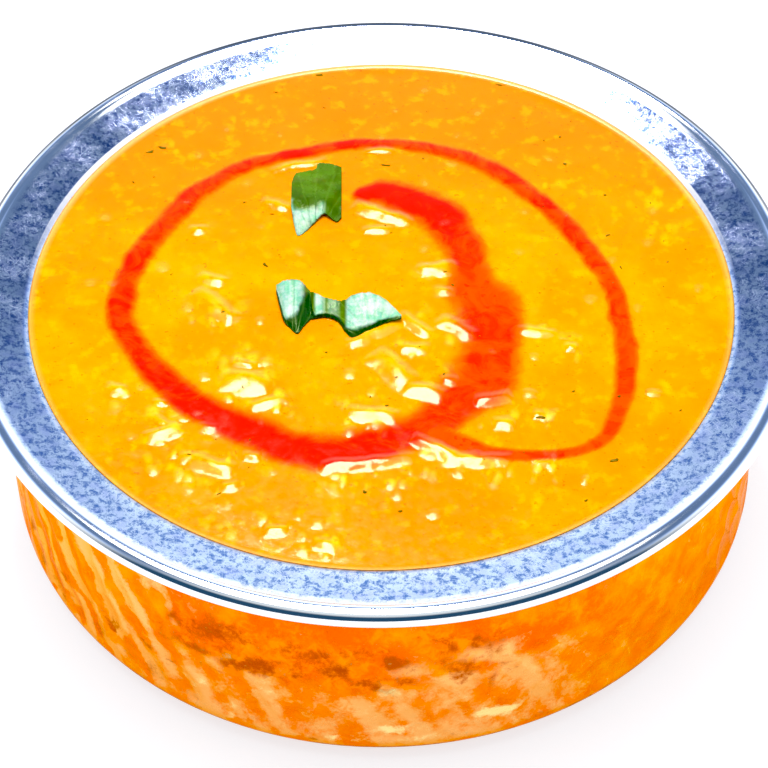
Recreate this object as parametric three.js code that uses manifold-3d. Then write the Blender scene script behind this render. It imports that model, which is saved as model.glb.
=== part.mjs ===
// Dal in its serving bowl: a hammered copper bowl lined with polished steel and filled
// with thick dal, a drizzle of chilli oil laid on top as a spiral, and torn coriander leaves.
// Millimetres, +Z up. The base rests on z = 0 and the bowl's axis is the Z axis.

import * as THREE from 'three';
import { mergeVertices } from 'three/addons/utils/BufferGeometryUtils.js';
import Module from 'manifold-3d';

const wasm = await Module();
wasm.setup();

// ---------------------------------------------------------------- driving dimensions

// Clearance that touching pieces keep to each other.
const GAP = 0.3;

// Sheet thicknesses of the two skins of the bowl.
const STEEL = 1.0;
const COPPER = 1.2;

// The rim: a rolled bead round a band that slopes down into the bowl.
const RIM_RADIUS = 75;
const RIM_HEIGHT = 48.5;
const BEAD_RADIUS = 1.9;
const BAND_SLOPE = 10.9;

// The neck, where the band turns down into the dal and back out over the shoulder.
const NECK_RADIUS = 3.0;
const NECK_CENTRE = new THREE.Vector2(65.25, 43.71);
const SHOULDER_HEADING = 112;

// The body below it, measured on the inside of the steel.
const FLOOR_RADIUS = 63.6;
const CORNER_RADIUS = 4.5;
const SIDE_REACH = 20;
const SHOULDER_REACH = 12;

// The copper skin stops this far out, under the band and just inside the bead.
const COPPER_EDGE_RADIUS = 70.8;

// Hammer marks: how many go round, how many rows, and how deep each one is.
const MARKS_ROUND = 63;
const MARK_ROWS = 5;
const MARK_DEPTH = 0.34;
const MARK_UNEVENNESS = 0.12;
const MARKS_FROM = 0.03;
const MARKS_TO = 0.93;

// The dal's surface, and the loose texture of lentils that breaks it.
const DAL_LEVEL = 45.9;
const LENTIL_TRIES = 62;
const LENTIL_FIELD_RADIUS = 58;
const LENTIL_LENGTH = 1.7;
const LENTIL_LENGTH_SPREAD = 1.5;
const LENTIL_HEIGHT = 0.34;
const LENTIL_HEIGHT_SPREAD = 0.26;
const LENTIL_SEED = 20417;

// Chilli oil drizzle: it starts at this bearing and turns clockwise. Each stop holds the
// turn so far in degrees, the distance from the bowl's axis and the width of the trail.
const DRIZZLE_BEARING = 94;
const DRIZZLE_HEIGHT = 0.25;
const DRIZZLE_STOPS = [
  [-3, 26.6, 4.0],
  [10, 26.0, 7.6],
  [32, 23.5, 8.0],
  [69, 20.1, 6.8],
  [105, 22.6, 9.8],
  [129, 24.5, 9.2],
  [155, 29.6, 7.4],
  [177, 35.2, 7.6],
  [200, 39.4, 7.4],
  [227, 41.2, 6.0],
  [250, 44.2, 5.0],
  [272, 47.4, 4.8],
  [295, 44.6, 4.4],
  [320, 43.6, 3.6],
  [345, 40.8, 2.9],
  [370, 40.4, 2.6],
  [396, 39.4, 3.8],
  [424, 38.5, 3.8],
  [452, 41.6, 3.4],
  [476, 46.7, 3.5],
  [492, 51.0, 3.0],
  [503, 50.4, 2.0],
  [516, 43.6, 2.6],
  [530, 34.6, 4.6],
];
const DRIZZLE_SPLIT = 0.55;
const DRIZZLE_OVERLAP = 0.02;
const DRIZZLE_STEPS = 30;

// Ridges that the spoon pushed up in the dal: centre, length, width and bearing.
const RIDGE_HEIGHT = 0.6;
const RIDGES = [
  { x: 0.2, y: 20.6, length: 10.5, width: 2.6, bearing: -29 },
  { x: 15.8, y: -39.8, length: 10.0, width: 2.4, bearing: -4 },
  { x: 8.8, y: -37.2, length: 8.6, width: 2.4, bearing: -34 },
  { x: -2.8, y: -40.2, length: 14.5, width: 2.4, bearing: 5 },
  { x: 1.6, y: -18.6, length: 8.8, width: 4.2, bearing: -50 },
  { x: 7.3, y: -24.0, length: 6.8, width: 2.8, bearing: -20 },
  { x: -2.0, y: -29.4, length: 8.0, width: 2.8, bearing: -12 },
  { x: 19.5, y: -25.9, length: 5.6, width: 2.6, bearing: 14 },
  { x: 10.4, y: 6.0, length: 6.4, width: 2.8, bearing: 9 },
  { x: 13.2, y: -8.6, length: 6.6, width: 3.0, bearing: -39 },
  { x: -30.0, y: -2.6, length: 9.6, width: 3.0, bearing: -44 },
  { x: -24.1, y: -21.4, length: 8.2, width: 4.4, bearing: -8 },
  { x: -37.7, y: -33.0, length: 5.6, width: 2.8, bearing: 28 },
  { x: -29.2, y: -40.2, length: 7.4, width: 2.8, bearing: -17 },
];

// Coriander leaves, each a sheet laid through stations from left to right. A station holds
// its place along X, where its far edge lies along Y and how high that stands, the same two
// for its near edge, and then its fold: its share of the way from the far edge to the near
// one, and how high it stands.
const LEAF_THICKNESS = 0.5;
const LEAF_STEPS_PER_STATION = 2;
const LEAF_STEPS_PER_HALF = 2;
const FOLD_CLEARANCE = 0.04;
const LEAVES = [
  {
    name: 'coriander_leaf_back',
    stations: [
      [-16.6, 28.9, 0.9, 22.2, 1.0, 0.58, 1.2],
      [-15.9, 31.4, 0.8, 17.4, 0.5, 0.55, 1.4],
      [-15.0, 31.8, 0.8, 15.2, 0.1, 0.52, 1.5],
      [-12.3, 32.5, 0.8, 18.2, 0.5, 0.65, 1.6],
      [-11.7, 34.2, 0.7, 19.1, 0.6, 0.72, 1.6],
      [-10.3, 34.3, 0.7, 20.3, 0.9, 0.75, 1.5],
      [-8.2, 33.6, 0.8, 18.7, 0.4, 0.54, 1.1],
      [-7.2, 32.9, 0.9, 19.6, 0.5, 0.47, 0.9],
    ],
  },
  {
    name: 'coriander_leaf_front',
    stations: [
      [-18.9, 1.2, 1.6, -0.5, 1.0, 0.59, 1.3],
      [-17.6, 1.3, 2.2, -6.4, 0.5, 0.91, 0.9],
      [-16.2, 1.5, 2.5, -8.6, 0.2, 0.81, 1.0],
      [-15.0, 1.4, 2.5, -9.9, 0.2, 0.56, 1.4],
      [-13.9, 0.9, 1.9, -8.2, 0.3, 0.23, 1.5],
      [-12.8, 0.3, 0.5, -6.6, 0.3, 0.09, 0.5],
      [-12.0, -1.2, 1.7, -6.3, 0.4, 0.92, 1.0],
      [-9.6, -2.3, 1.4, -6.1, 0.4, 0.92, 0.9],
      [-7.8, -2.9, 1.3, -7.1, 0.4, 0.9, 0.8],
      [-6.5, -3.0, 1.5, -9.5, 0.3, 0.92, 0.8],
      [-5.1, -2.3, 2.0, -10.9, 0.1, 0.87, 0.9],
      [-2.4, -1.9, 2.3, -9.6, 0.2, 0.88, 1.1],
      [0.6, -3.2, 2.1, -8.0, 0.7, 0.9, 1.2],
      [3.6, -6.6, 1.2, -7.2, 1.1, 0.5, 1.2],
    ],
  },
];

// How finely the round forms are divided.
const STEEL_SEGMENTS = 64;
const CORNER_STEPS = 2;
const SIDE_STEPS = 3;
const NECK_STEPS = 4;
const OUTER_NECK_STEPS = 2;
const BEAD_STEPS = 9;
const RIDGE_SIDES = 8;
const LENTIL_SIDES = 6;
const WELD_DISTANCE = 1e-4;

// ---------------------------------------------------------------- materials

const FINISH = {
  steel: new THREE.MeshStandardMaterial({ color: 0xc4d0dc, roughness: 0.25, metalness: 1.0 }),
  copper: new THREE.MeshStandardMaterial({ color: 0xe58a2e, roughness: 0.22, metalness: 1.0 }),
  dal: new THREE.MeshStandardMaterial({ color: 0xffa800, roughness: 0.3, metalness: 0.0 }),
  coriander: new THREE.MeshStandardMaterial({ color: 0x4a8c1c, roughness: 0.35, metalness: 0.0 }),
};

// ---------------------------------------------------------------- helpers

const radians = THREE.MathUtils.degToRad;
const point = (x, y) => new THREE.Vector2(x, y);
const unit = (degrees) => point(Math.cos(radians(degrees)), Math.sin(radians(degrees)));

// Numbers between 0 and 1 in a fixed order, by a linear congruential rule.
function repeatableDraws(seed) {
  let state = seed;
  return () => {
    state = (Math.imul(state, 1664525) + 1013904223) >>> 0;
    return state / 2 ** 32;
  };
}

// Points along an arc between two bearings in degrees.
function arcPoints(centre, radius, from, to, steps) {
  return Array.from({ length: steps + 1 }, (_, i) => {
    const bearing = from + ((to - from) * i) / steps;
    return unit(bearing).multiplyScalar(radius).add(centre);
  });
}

// A solid of revolution about Z. The profile is (radius, height) and starts and ends on
// the axis, rising on its outer side.
function turned(profile, segments) {
  return new THREE.LatheGeometry(profile, segments).rotateX(Math.PI / 2);
}

// The same closed surface with shared corners, and without triangles that have no area.
function welded(geometry) {
  const bare = geometry.clone();
  bare.deleteAttribute('normal');
  bare.deleteAttribute('uv');
  const merged = mergeVertices(bare, WELD_DISTANCE);
  const corners = merged.index.array;
  const kept = [];
  for (let i = 0; i < corners.length; i += 3) {
    const [a, b, c] = corners.slice(i, i + 3);
    if (a !== b && b !== c && c !== a) kept.push(a, b, c);
  }
  return merged.setIndex(kept);
}

// A geometry of three.js as a solid that can be joined.
function toSolid(geometry) {
  const closed = welded(geometry);
  return new wasm.Manifold(new wasm.Mesh({
    numProp: 3,
    vertProperties: new Float32Array(closed.attributes.position.array),
    triVerts: new Uint32Array(closed.index.array),
  }));
}

// A joined solid back as a geometry of three.js.
function toGeometry(solid) {
  const mesh = solid.getMesh();
  return welded(meshGeometry(Array.from(mesh.vertProperties), Array.from(mesh.triVerts)));
}

function meshGeometry(positions, corners) {
  const geometry = new THREE.BufferGeometry();
  geometry.setAttribute('position', new THREE.Float32BufferAttribute(positions, 3));
  geometry.setIndex(corners);
  geometry.computeVertexNormals();
  return geometry;
}

// ---------------------------------------------------------------- the bowl's section

// Every skin of the bowl follows one section, the steel's inner face, at some distance
// outwards from it.
const FLOOR_HEIGHT = STEEL + GAP + COPPER;
const CORNER_CENTRE = point(FLOOR_RADIUS, FLOOR_HEIGHT + CORNER_RADIUS);
const BEAD_CENTRE = point(RIM_RADIUS - BEAD_RADIUS, RIM_HEIGHT - BEAD_RADIUS);
const BAND_NORMAL_BEARING = BAND_SLOPE + 90;

const sideFoot = point(FLOOR_RADIUS + CORNER_RADIUS, CORNER_CENTRE.y);
const neckFoot = unit(SHOULDER_HEADING + 90).multiplyScalar(NECK_RADIUS).add(NECK_CENTRE);
const side = new THREE.CubicBezierCurve(
  sideFoot,
  sideFoot.clone().add(point(0, SIDE_REACH)),
  neckFoot.clone().sub(unit(SHOULDER_HEADING).multiplyScalar(SHOULDER_REACH)),
  neckFoot,
);

// A point on the side and shoulder, by its share of their length.
function sidePoint(share, offset) {
  const along = side.getTangentAt(share);
  return side.getPointAt(share).add(point(along.y, -along.x).multiplyScalar(offset));
}

// The section from the middle of the floor up the neck, to where the band begins or to
// an earlier bearing on the neck's circle.
function bodyPoints(offset, to = BAND_NORMAL_BEARING) {
  const between = Array.from({ length: SIDE_STEPS - 1 }, (_, i) => (i + 1) / SIDE_STEPS);
  return [
    point(0, FLOOR_HEIGHT - offset),
    ...arcPoints(CORNER_CENTRE, CORNER_RADIUS + offset, -90, 0, CORNER_STEPS),
    ...between.map((share) => sidePoint(share, offset)),
    ...neckPoints(offset, NECK_STEPS, to),
  ];
}

function neckPoints(offset, steps, to = BAND_NORMAL_BEARING) {
  const from = SHOULDER_HEADING + 90;
  return arcPoints(NECK_CENTRE, NECK_RADIUS - offset, from, to, steps);
}

// The point of the band that lies at a given distance from the bowl's axis.
function bandPoint(radius, offset) {
  const start = neckPoints(offset, 1).at(-1);
  return point(radius, start.y + (radius - start.x) * Math.tan(radians(BAND_SLOPE)));
}

// ---------------------------------------------------------------- steel liner

// The bearing on the bead's circle at which the band's face at this offset runs into it.
function beadBearing(offset) {
  const toBead = BEAD_CENTRE.clone().sub(NECK_CENTRE);
  const distance = NECK_RADIUS - offset - toBead.dot(unit(BAND_NORMAL_BEARING));
  return BAND_NORMAL_BEARING + THREE.MathUtils.radToDeg(Math.acos(distance / BEAD_RADIUS));
}

function steelLiner() {
  const bead = arcPoints(
    BEAD_CENTRE, BEAD_RADIUS, beadBearing(STEEL) - 360, beadBearing(0), BEAD_STEPS);
  const profile = [...bodyPoints(STEEL), ...bead, ...bodyPoints(0).reverse()];
  return turned(profile, STEEL_SEGMENTS);
}

// ---------------------------------------------------------------- copper jacket

// The outside carries rows of hammer marks set like a honeycomb. Each mark is a six-sided
// pit: a low middle point, with ridge points at the corners between it and its neighbours.
function copperJacket() {
  const draw = repeatableDraws(MARKS_ROUND);
  const inner = STEEL + GAP;
  const outer = inner + COPPER;
  const positions = [];
  const corners = [];

  // Adds a ring of points and gives the function from a column to its point's number.
  // A shifted ring stands half a column further round.
  function ring(spot, shift, depth = 0, unevenness = 0) {
    const first = positions.length / 3;
    for (let column = 0; column < MARKS_ROUND; column += 1) {
      const angle = ((column + shift) / MARKS_ROUND) * 2 * Math.PI;
      const radius = spot.x - depth - unevenness * draw();
      positions.push(radius * Math.cos(angle), radius * Math.sin(angle), spot.y);
    }
    return (column) => first + ((column + MARKS_ROUND) % MARKS_ROUND);
  }

  // Joins two rings whose columns stand at the same bearings.
  function strip(below, above) {
    for (let column = 0; column < MARKS_ROUND; column += 1) {
      corners.push(below(column), below(column + 1), above(column + 1));
      corners.push(below(column), above(column + 1), above(column));
    }
  }

  function axisCap(height, nextRing, upward) {
    const centre = positions.length / 3;
    positions.push(0, 0, height);
    for (let column = 0; column < MARKS_ROUND; column += 1) {
      const pair = [nextRing(column), nextRing(column + 1)];
      corners.push(centre, ...(upward ? pair : pair.reverse()));
    }
  }

  // Outside, from the base up to the first ring of ridges.
  const base = bodyPoints(outer).slice(1, CORNER_STEPS + 2).map((spot) => ring(spot, 0));
  axisCap(0, base[0], false);

  // One mark's row is three rings: the ridges below it, its middles, the ridges above it.
  const pitch = (MARKS_TO - MARKS_FROM) / (MARK_ROWS + 1 / 3);
  const ridgeRing = (share, shift) => ring(sidePoint(share, outer), shift, 0, MARK_UNEVENNESS);
  const foot = ridgeRing(MARKS_FROM, 0);
  const rows = Array.from({ length: MARK_ROWS }, (_, row) => {
    const shift = (row % 2) / 2;
    const share = MARKS_FROM + row * pitch;
    return {
      below: ridgeRing(share + pitch / 3, 0.5 - shift),
      middle: ring(sidePoint(share + (pitch * 2) / 3, outer), shift, MARK_DEPTH, MARK_UNEVENNESS),
      above: ridgeRing(share + pitch, 0.5 - shift),
      odd: row % 2,
    };
  });
  const head = ridgeRing(MARKS_TO, ((MARK_ROWS + 1) % 2) / 2);

  // Rings at the same bearings as a mark's middle number that column alike. Rings half a
  // column off have their points to its left and right.
  rows.forEach((row, i) => {
    const under = i === 0 ? foot : rows[i - 1].above;
    const over = i === MARK_ROWS - 1 ? head : rows[i + 1].below;
    const left = row.odd ? 0 : -1;
    const right = left + 1;
    for (let column = 0; column < MARKS_ROUND; column += 1) {
      const rim = [
        under(column), row.below(column + right), row.above(column + right),
        over(column), row.above(column + left), row.below(column + left),
      ];
      rim.forEach((corner, k) => corners.push(row.middle(column), corner, rim[(k + 1) % 6]));
    }
  });

  // Triangles that straighten the zigzag below the first row and above the last.
  const lowest = rows[0];
  const highest = rows[MARK_ROWS - 1];
  for (let column = 0; column < MARKS_ROUND; column += 1) {
    corners.push(foot(column), foot(column + 1), lowest.below(column));
    corners.push(head(column), highest.above(column), head(column + 1));
  }

  // Outside of the shoulder, neck and flange, then back down the inside to the axis.
  const upper = [...neckPoints(outer, OUTER_NECK_STEPS), bandPoint(COPPER_EDGE_RADIUS, outer)];
  const inside = [bandPoint(COPPER_EDGE_RADIUS, inner), ...bodyPoints(inner).slice(1).reverse()];
  const rest = [head, ...[...upper, ...inside].map((spot) => ring(spot, 0))];
  [...base, foot].slice(1).forEach((above, i) => strip(base[i], above));
  rest.slice(1).forEach((above, i) => strip(rest[i], above));
  axisCap(FLOOR_HEIGHT - inner, rest.at(-1), true);
  return meshGeometry(positions, corners);
}

// ---------------------------------------------------------------- leaves

const smoothCurve = (spots) => new THREE.CatmullRomCurve3(spots, false, 'catmullrom', 0.5);

// A leaf's two edges and its fold as smooth curves through its stations. The fold's curve
// carries its share of the way across and its height.
function leafCurves({ stations }) {
  return {
    far: smoothCurve(stations.map(([x, y, z]) => new THREE.Vector3(x, y, z))),
    near: smoothCurve(stations.map(([x, , , y, z]) => new THREE.Vector3(x, y, z))),
    fold: smoothCurve(stations.map(([, , , , , share, z]) => new THREE.Vector3(share, z, 0))),
  };
}

// A point of a leaf's middle surface. Along runs from left to right, and across from 0 at
// the far edge over 1 at the fold to 2 at the near edge.
function leafPoint({ far, near, fold }, along, across) {
  const start = far.getPoint(along);
  const end = near.getPoint(along);
  const crease = fold.getPoint(along);
  const share = THREE.MathUtils.clamp(crease.x, FOLD_CLEARANCE, 1 - FOLD_CLEARANCE);
  const middle = start.clone().lerp(end, share).setZ(crease.y);
  return across < 1 ? start.lerp(middle, across) : middle.lerp(end, across - 1);
}

// A thin closed solid: the middle surface moved half a thickness up and down, both faces
// cut into the same triangles, and a wall all round.
function leafSheet(leaf) {
  const curves = leafCurves(leaf);
  const lengthSteps = (leaf.stations.length - 1) * LEAF_STEPS_PER_STATION;
  const widthSteps = 2 * LEAF_STEPS_PER_HALF;
  const rowLength = widthSteps + 1;
  const positions = [];
  const corners = [];
  for (const lean of [1, -1]) {
    for (let i = 0; i <= lengthSteps; i += 1) {
      for (let j = 0; j <= widthSteps; j += 1) {
        const spot = leafPoint(curves, i / lengthSteps, j / LEAF_STEPS_PER_HALF);
        positions.push(spot.x, spot.y, spot.z + (lean * LEAF_THICKNESS) / 2);
      }
    }
  }
  const number = (i, j, face) => (face * (lengthSteps + 1) + i) * rowLength + j;
  for (let i = 0; i < lengthSteps; i += 1) {
    for (let j = 0; j < widthSteps; j += 1) {
      for (const face of [0, 1]) {
        const [a, b] = [number(i, j, face), number(i + 1, j, face)];
        const [c, d] = [number(i + 1, j + 1, face), number(i, j + 1, face)];
        if (face === 0) corners.push(a, d, c, a, c, b);
        else corners.push(a, c, d, a, b, c);
      }
    }
  }
  const outline = [];
  for (let i = 0; i < lengthSteps; i += 1) outline.push([i, 0]);
  for (let j = 0; j < widthSteps; j += 1) outline.push([lengthSteps, j]);
  for (let i = lengthSteps; i > 0; i -= 1) outline.push([i, widthSteps]);
  for (let j = widthSteps; j > 0; j -= 1) outline.push([0, j]);
  outline.forEach(([i, j], k) => {
    const [m, n] = outline[(k + 1) % outline.length];
    const [upper, nextUpper] = [number(i, j, 0), number(m, n, 0)];
    const [lower, nextLower] = [number(i, j, 1), number(m, n, 1)];
    corners.push(upper, nextUpper, nextLower, upper, nextLower, lower);
  });
  return meshGeometry(positions, corners);
}

// A leaf lowered until its lowest point rests on the dal.
function restingLeaf(leaf) {
  const geometry = leafSheet(leaf);
  geometry.computeBoundingBox();
  return geometry.translate(0, 0, DAL_LEVEL + GAP - geometry.boundingBox.min.z);
}

// ---------------------------------------------------------------- dal

// The drizzle's middle line, with the width of the trail as third coordinate.
const drizzleLine = new THREE.CatmullRomCurve3(
  DRIZZLE_STOPS.map(([turn, radius, width]) => {
    const spot = unit(DRIZZLE_BEARING - turn).multiplyScalar(radius);
    return new THREE.Vector3(spot.x, spot.y, width);
  }), false, 'catmullrom', 0.5);

// A stretch of the drizzle as a low bank with sloping sides, its foot sunk in the dal.
function drizzleBank(from, to) {
  const section = [[-0.8, -1.2], [0.8, -1.2], [1, -0.15], [0.45, 1], [-0.45, 1], [-1, -0.15]];
  const positions = [];
  const corners = [];
  const small = 0.002;
  for (let step = 0; step <= DRIZZLE_STEPS; step += 1) {
    const share = from + ((to - from) * step) / DRIZZLE_STEPS;
    const spot = drizzleLine.getPoint(share);
    const ahead = drizzleLine.getPoint(Math.min(share + small, 1));
    const behind = drizzleLine.getPoint(Math.max(share - small, 0));
    const forward = point(ahead.x - behind.x, ahead.y - behind.y).normalize();
    for (const [across, up] of section) {
      const reach = (across * spot.z) / 2;
      positions.push(spot.x + forward.y * reach, spot.y - forward.x * reach);
      positions.push(DAL_LEVEL + up * DRIZZLE_HEIGHT);
    }
  }
  const count = section.length;
  for (let step = 0; step < DRIZZLE_STEPS; step += 1) {
    for (let k = 0; k < count; k += 1) {
      const [a, b] = [step * count + k, step * count + ((k + 1) % count)];
      corners.push(a, b + count, b, a, a + count, b + count);
    }
  }
  const last = DRIZZLE_STEPS * count;
  for (let k = 1; k < count - 1; k += 1) {
    corners.push(0, k, k + 1);
    corners.push(last, last + k + 1, last + k);
  }
  return meshGeometry(positions, corners);
}

// A low oval dome, its foot sunk in the dal.
function mound(x, y, length, width, height, bearing, sides) {
  const dome = [point(0, -1), point(0.54, -0.3), point(0.33, 0.72), point(0, 1)];
  return turned(dome, sides)
    .scale(length, width, height)
    .rotateZ(radians(bearing))
    .translate(x, y, DAL_LEVEL);
}

// Lentils spread as a sunflower's seeds are, with uneven steps, and left out where one
// would touch a leaf.
function lentils() {
  const draw = repeatableDraws(LENTIL_SEED);
  const goldenAngle = 180 * (3 - Math.sqrt(5));
  const covered = LEAVES.map(({ stations }) => new THREE.Box2().setFromPoints(
    stations.flatMap(([x, farY, , nearY]) => [point(x, farY), point(x, nearY)])));
  const shapes = [];
  for (let k = 0; k < LENTIL_TRIES; k += 1) {
    const distance = LENTIL_FIELD_RADIUS * Math.sqrt((k + draw()) / LENTIL_TRIES);
    const spot = unit(k * goldenAngle + 40 * draw()).multiplyScalar(distance);
    const length = LENTIL_LENGTH + LENTIL_LENGTH_SPREAD * draw();
    const width = length * (0.6 + 0.35 * draw());
    const height = LENTIL_HEIGHT + LENTIL_HEIGHT_SPREAD * draw();
    const bearing = 180 * draw();
    const blocked = covered.some((box) => box.distanceToPoint(spot) < length);
    if (!blocked) shapes.push(mound(spot.x, spot.y, length, width, height, bearing, LENTIL_SIDES));
  }
  return shapes;
}

// The dal fills the bowl up the neck, until its level surface meets the neck's curve.
function dal() {
  const rise = (DAL_LEVEL - NECK_CENTRE.y) / (NECK_RADIUS + GAP);
  const edgeBearing = 180 - THREE.MathUtils.radToDeg(Math.asin(rise));
  const profile = [...bodyPoints(-GAP, edgeBearing), point(0, DAL_LEVEL)];
  const shapes = [
    drizzleBank(0, DRIZZLE_SPLIT),
    drizzleBank(DRIZZLE_SPLIT - DRIZZLE_OVERLAP, 1),
    ...RIDGES.map(({ x, y, length, width, bearing }) => (
      mound(x, y, length, width, RIDGE_HEIGHT, bearing, RIDGE_SIDES))),
    ...lentils(),
  ];
  const body = toSolid(turned(profile, STEEL_SEGMENTS));
  return toGeometry(shapes.reduce((whole, shape) => whole.add(toSolid(shape)), body));
}

// ---------------------------------------------------------------- assembly

const bowlOfDal = new THREE.Group();

function place(name, geometry, material) {
  const mesh = new THREE.Mesh(geometry, material);
  mesh.name = name;
  bowlOfDal.add(mesh);
}

place('steel_liner', steelLiner(), FINISH.steel.clone());
place('copper_jacket', copperJacket(), FINISH.copper.clone());
place('dal', dal(), FINISH.dal.clone());
LEAVES.forEach((leaf) => place(leaf.name, restingLeaf(leaf), FINISH.coriander.clone()));

export default bowlOfDal;
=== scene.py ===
"""Dal in a hammered copper serving bowl lined with steel, with chilli oil and coriander.

Lengths in the named sizes and in every shape function are millimetres; a piece's mesh is
put in metres when it is made. +Z is up, and the bowl stands on z = 0. Each surface is a
function of two parameters, worked out as whole arrays.
"""

import math

import bpy
import numpy as np
from bpy.props import FloatProperty, FloatVectorProperty, PointerProperty
from mathutils import Matrix, Vector


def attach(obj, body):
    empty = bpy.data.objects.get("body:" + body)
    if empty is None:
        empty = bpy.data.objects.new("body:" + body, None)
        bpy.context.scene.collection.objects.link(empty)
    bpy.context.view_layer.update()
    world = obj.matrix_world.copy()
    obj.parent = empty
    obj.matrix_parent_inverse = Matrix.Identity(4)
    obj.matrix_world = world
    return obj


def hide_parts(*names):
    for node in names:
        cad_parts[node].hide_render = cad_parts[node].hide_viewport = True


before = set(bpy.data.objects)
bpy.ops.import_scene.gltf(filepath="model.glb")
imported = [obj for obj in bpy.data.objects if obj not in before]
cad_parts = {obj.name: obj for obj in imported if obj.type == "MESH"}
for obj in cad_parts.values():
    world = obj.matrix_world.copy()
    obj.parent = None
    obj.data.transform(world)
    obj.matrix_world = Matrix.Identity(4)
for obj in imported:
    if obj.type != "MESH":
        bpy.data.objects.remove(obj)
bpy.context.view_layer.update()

bl_info = {
    "name": "Bowl of dal",
    "version": (1, 0, 0),
    "blender": (4, 5, 0),
    "location": "3D View > Sidebar > Dal",
    "description": "Builds a bowl of dal with its garnish and a plain studio",
    "category": "Object",
}

METRES_PER_MM = 0.001
TURN = 2 * math.pi

# ---------------------------------------------------------------- sizes of the bowl

STEEL = 1.0
COPPER = 1.2
GAP = 0.3
RIM_RADIUS = 75.0
RIM_HEIGHT = 48.5
BEAD_RADIUS = 1.9
BAND_SLOPE = 10.9
NECK_RADIUS = 3.0
NECK_CENTRE = (65.25, 43.71)
SHOULDER_HEADING = 112.0
FLOOR_RADIUS = 63.1
CORNER_RADIUS = 4.5
SIDE_REACH = 20.0
SHOULDER_REACH = 12.0
COPPER_EDGE_RADIUS = 70.8
FLOOR_HEIGHT = STEEL + GAP + COPPER

# Hammer marks: how many go round, how many rows, and the shares of the side they cover.
MARKS_ROUND = 63
MARK_ROWS = 5
MARKS_FROM = 0.03
MARKS_TO = 0.93
MARK_SEED = 63

# ---------------------------------------------------------------- sizes of the dal

# The dal climbs the steel a little at its edge. Its hidden side begins some way under the
# level. The grid is the number of squares across its top.
DAL_LEVEL = 45.9
DAL_EDGE_RADIUS = 63.5
EDGE_RISE = 0.30
HIDDEN_FROM = 0.5
DAL_GRID = 284

LENTIL_TRIES = 62
LENTIL_FIELD_RADIUS = 58.0
LENTIL_SEED = 20417

# Chilli oil: each stop is the turn so far in degrees, clockwise from the bearing, the
# distance from the bowl's axis, the width of the trail and how deep the oil is there.
DRIZZLE_BEARING = 94.0
DRIZZLE_HEIGHT = 0.05
DRIZZLE_STOPS = (
    (-3, 26.6, 4.0, 1.0), (10, 26.0, 7.2, 1.0), (32, 23.3, 8.0, 0.9), (52, 20.2, 7.4, 0.7),
    (71, 17.8, 6.6, 0.45), (90, 17.4, 8.6, 0.35), (105, 19.9, 11.2, 0.45),
    (125, 23.4, 9.6, 0.5), (143, 27.6, 10.4, 0.5), (158, 30.0, 8.6, 0.5), (177, 34.8, 7.8, 0.7),
    (200, 39.4, 7.4, 1.0), (227, 41.2, 6.0, 1.0), (250, 44.2, 5.0, 0.8), (272, 47.4, 4.8, 0.7),
    (295, 44.6, 4.4, 0.6), (320, 43.6, 3.6, 0.6), (345, 40.8, 2.9, 0.75), (370, 40.4, 2.6, 0.5),
    (396, 39.4, 3.8, 0.5), (424, 38.5, 3.8, 0.6), (452, 41.6, 3.4, 0.45), (476, 46.7, 3.5, 0.4),
    (492, 51.0, 3.0, 0.45), (503, 50.4, 2.0, 0.4), (516, 43.6, 2.6, 0.3), (530, 34.6, 4.6, 0.3),
)

# Ridges that the spoon pushed up: x, y, length, width and bearing. Their crests lie off
# the middle, the powers round them, and their feet reach past their length and width. The
# halo is how far the dal round them is stirred.
RIDGE_HEIGHT = 0.46
RIDGE_CREST = 0.35
RIDGE_POWER = 0.8
RIDGE_END_POWER = 2.5
RIDGE_FOOT = (1.15, 1.5)
HALO = 3.6
RIDGES = (
    (0.2, 20.6, 10.5, 2.6, -29), (15.8, -39.8, 10.0, 2.4, -4), (8.8, -37.2, 8.6, 2.4, -34),
    (-2.8, -40.2, 14.5, 2.4, 5), (1.6, -18.6, 8.8, 4.2, -50), (7.3, -24.0, 6.8, 2.8, -20),
    (-2.0, -29.4, 8.0, 2.8, -12), (19.5, -25.9, 5.6, 2.6, 14), (10.4, 6.0, 6.4, 2.8, 9),
    (13.2, -8.6, 6.6, 3.0, -39), (-30.0, -2.6, 9.6, 3.0, -44), (-24.1, -21.4, 8.2, 4.4, -8),
    (-37.7, -33.0, 5.6, 2.8, 28), (-29.2, -40.2, 7.4, 2.8, -17),
)

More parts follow.
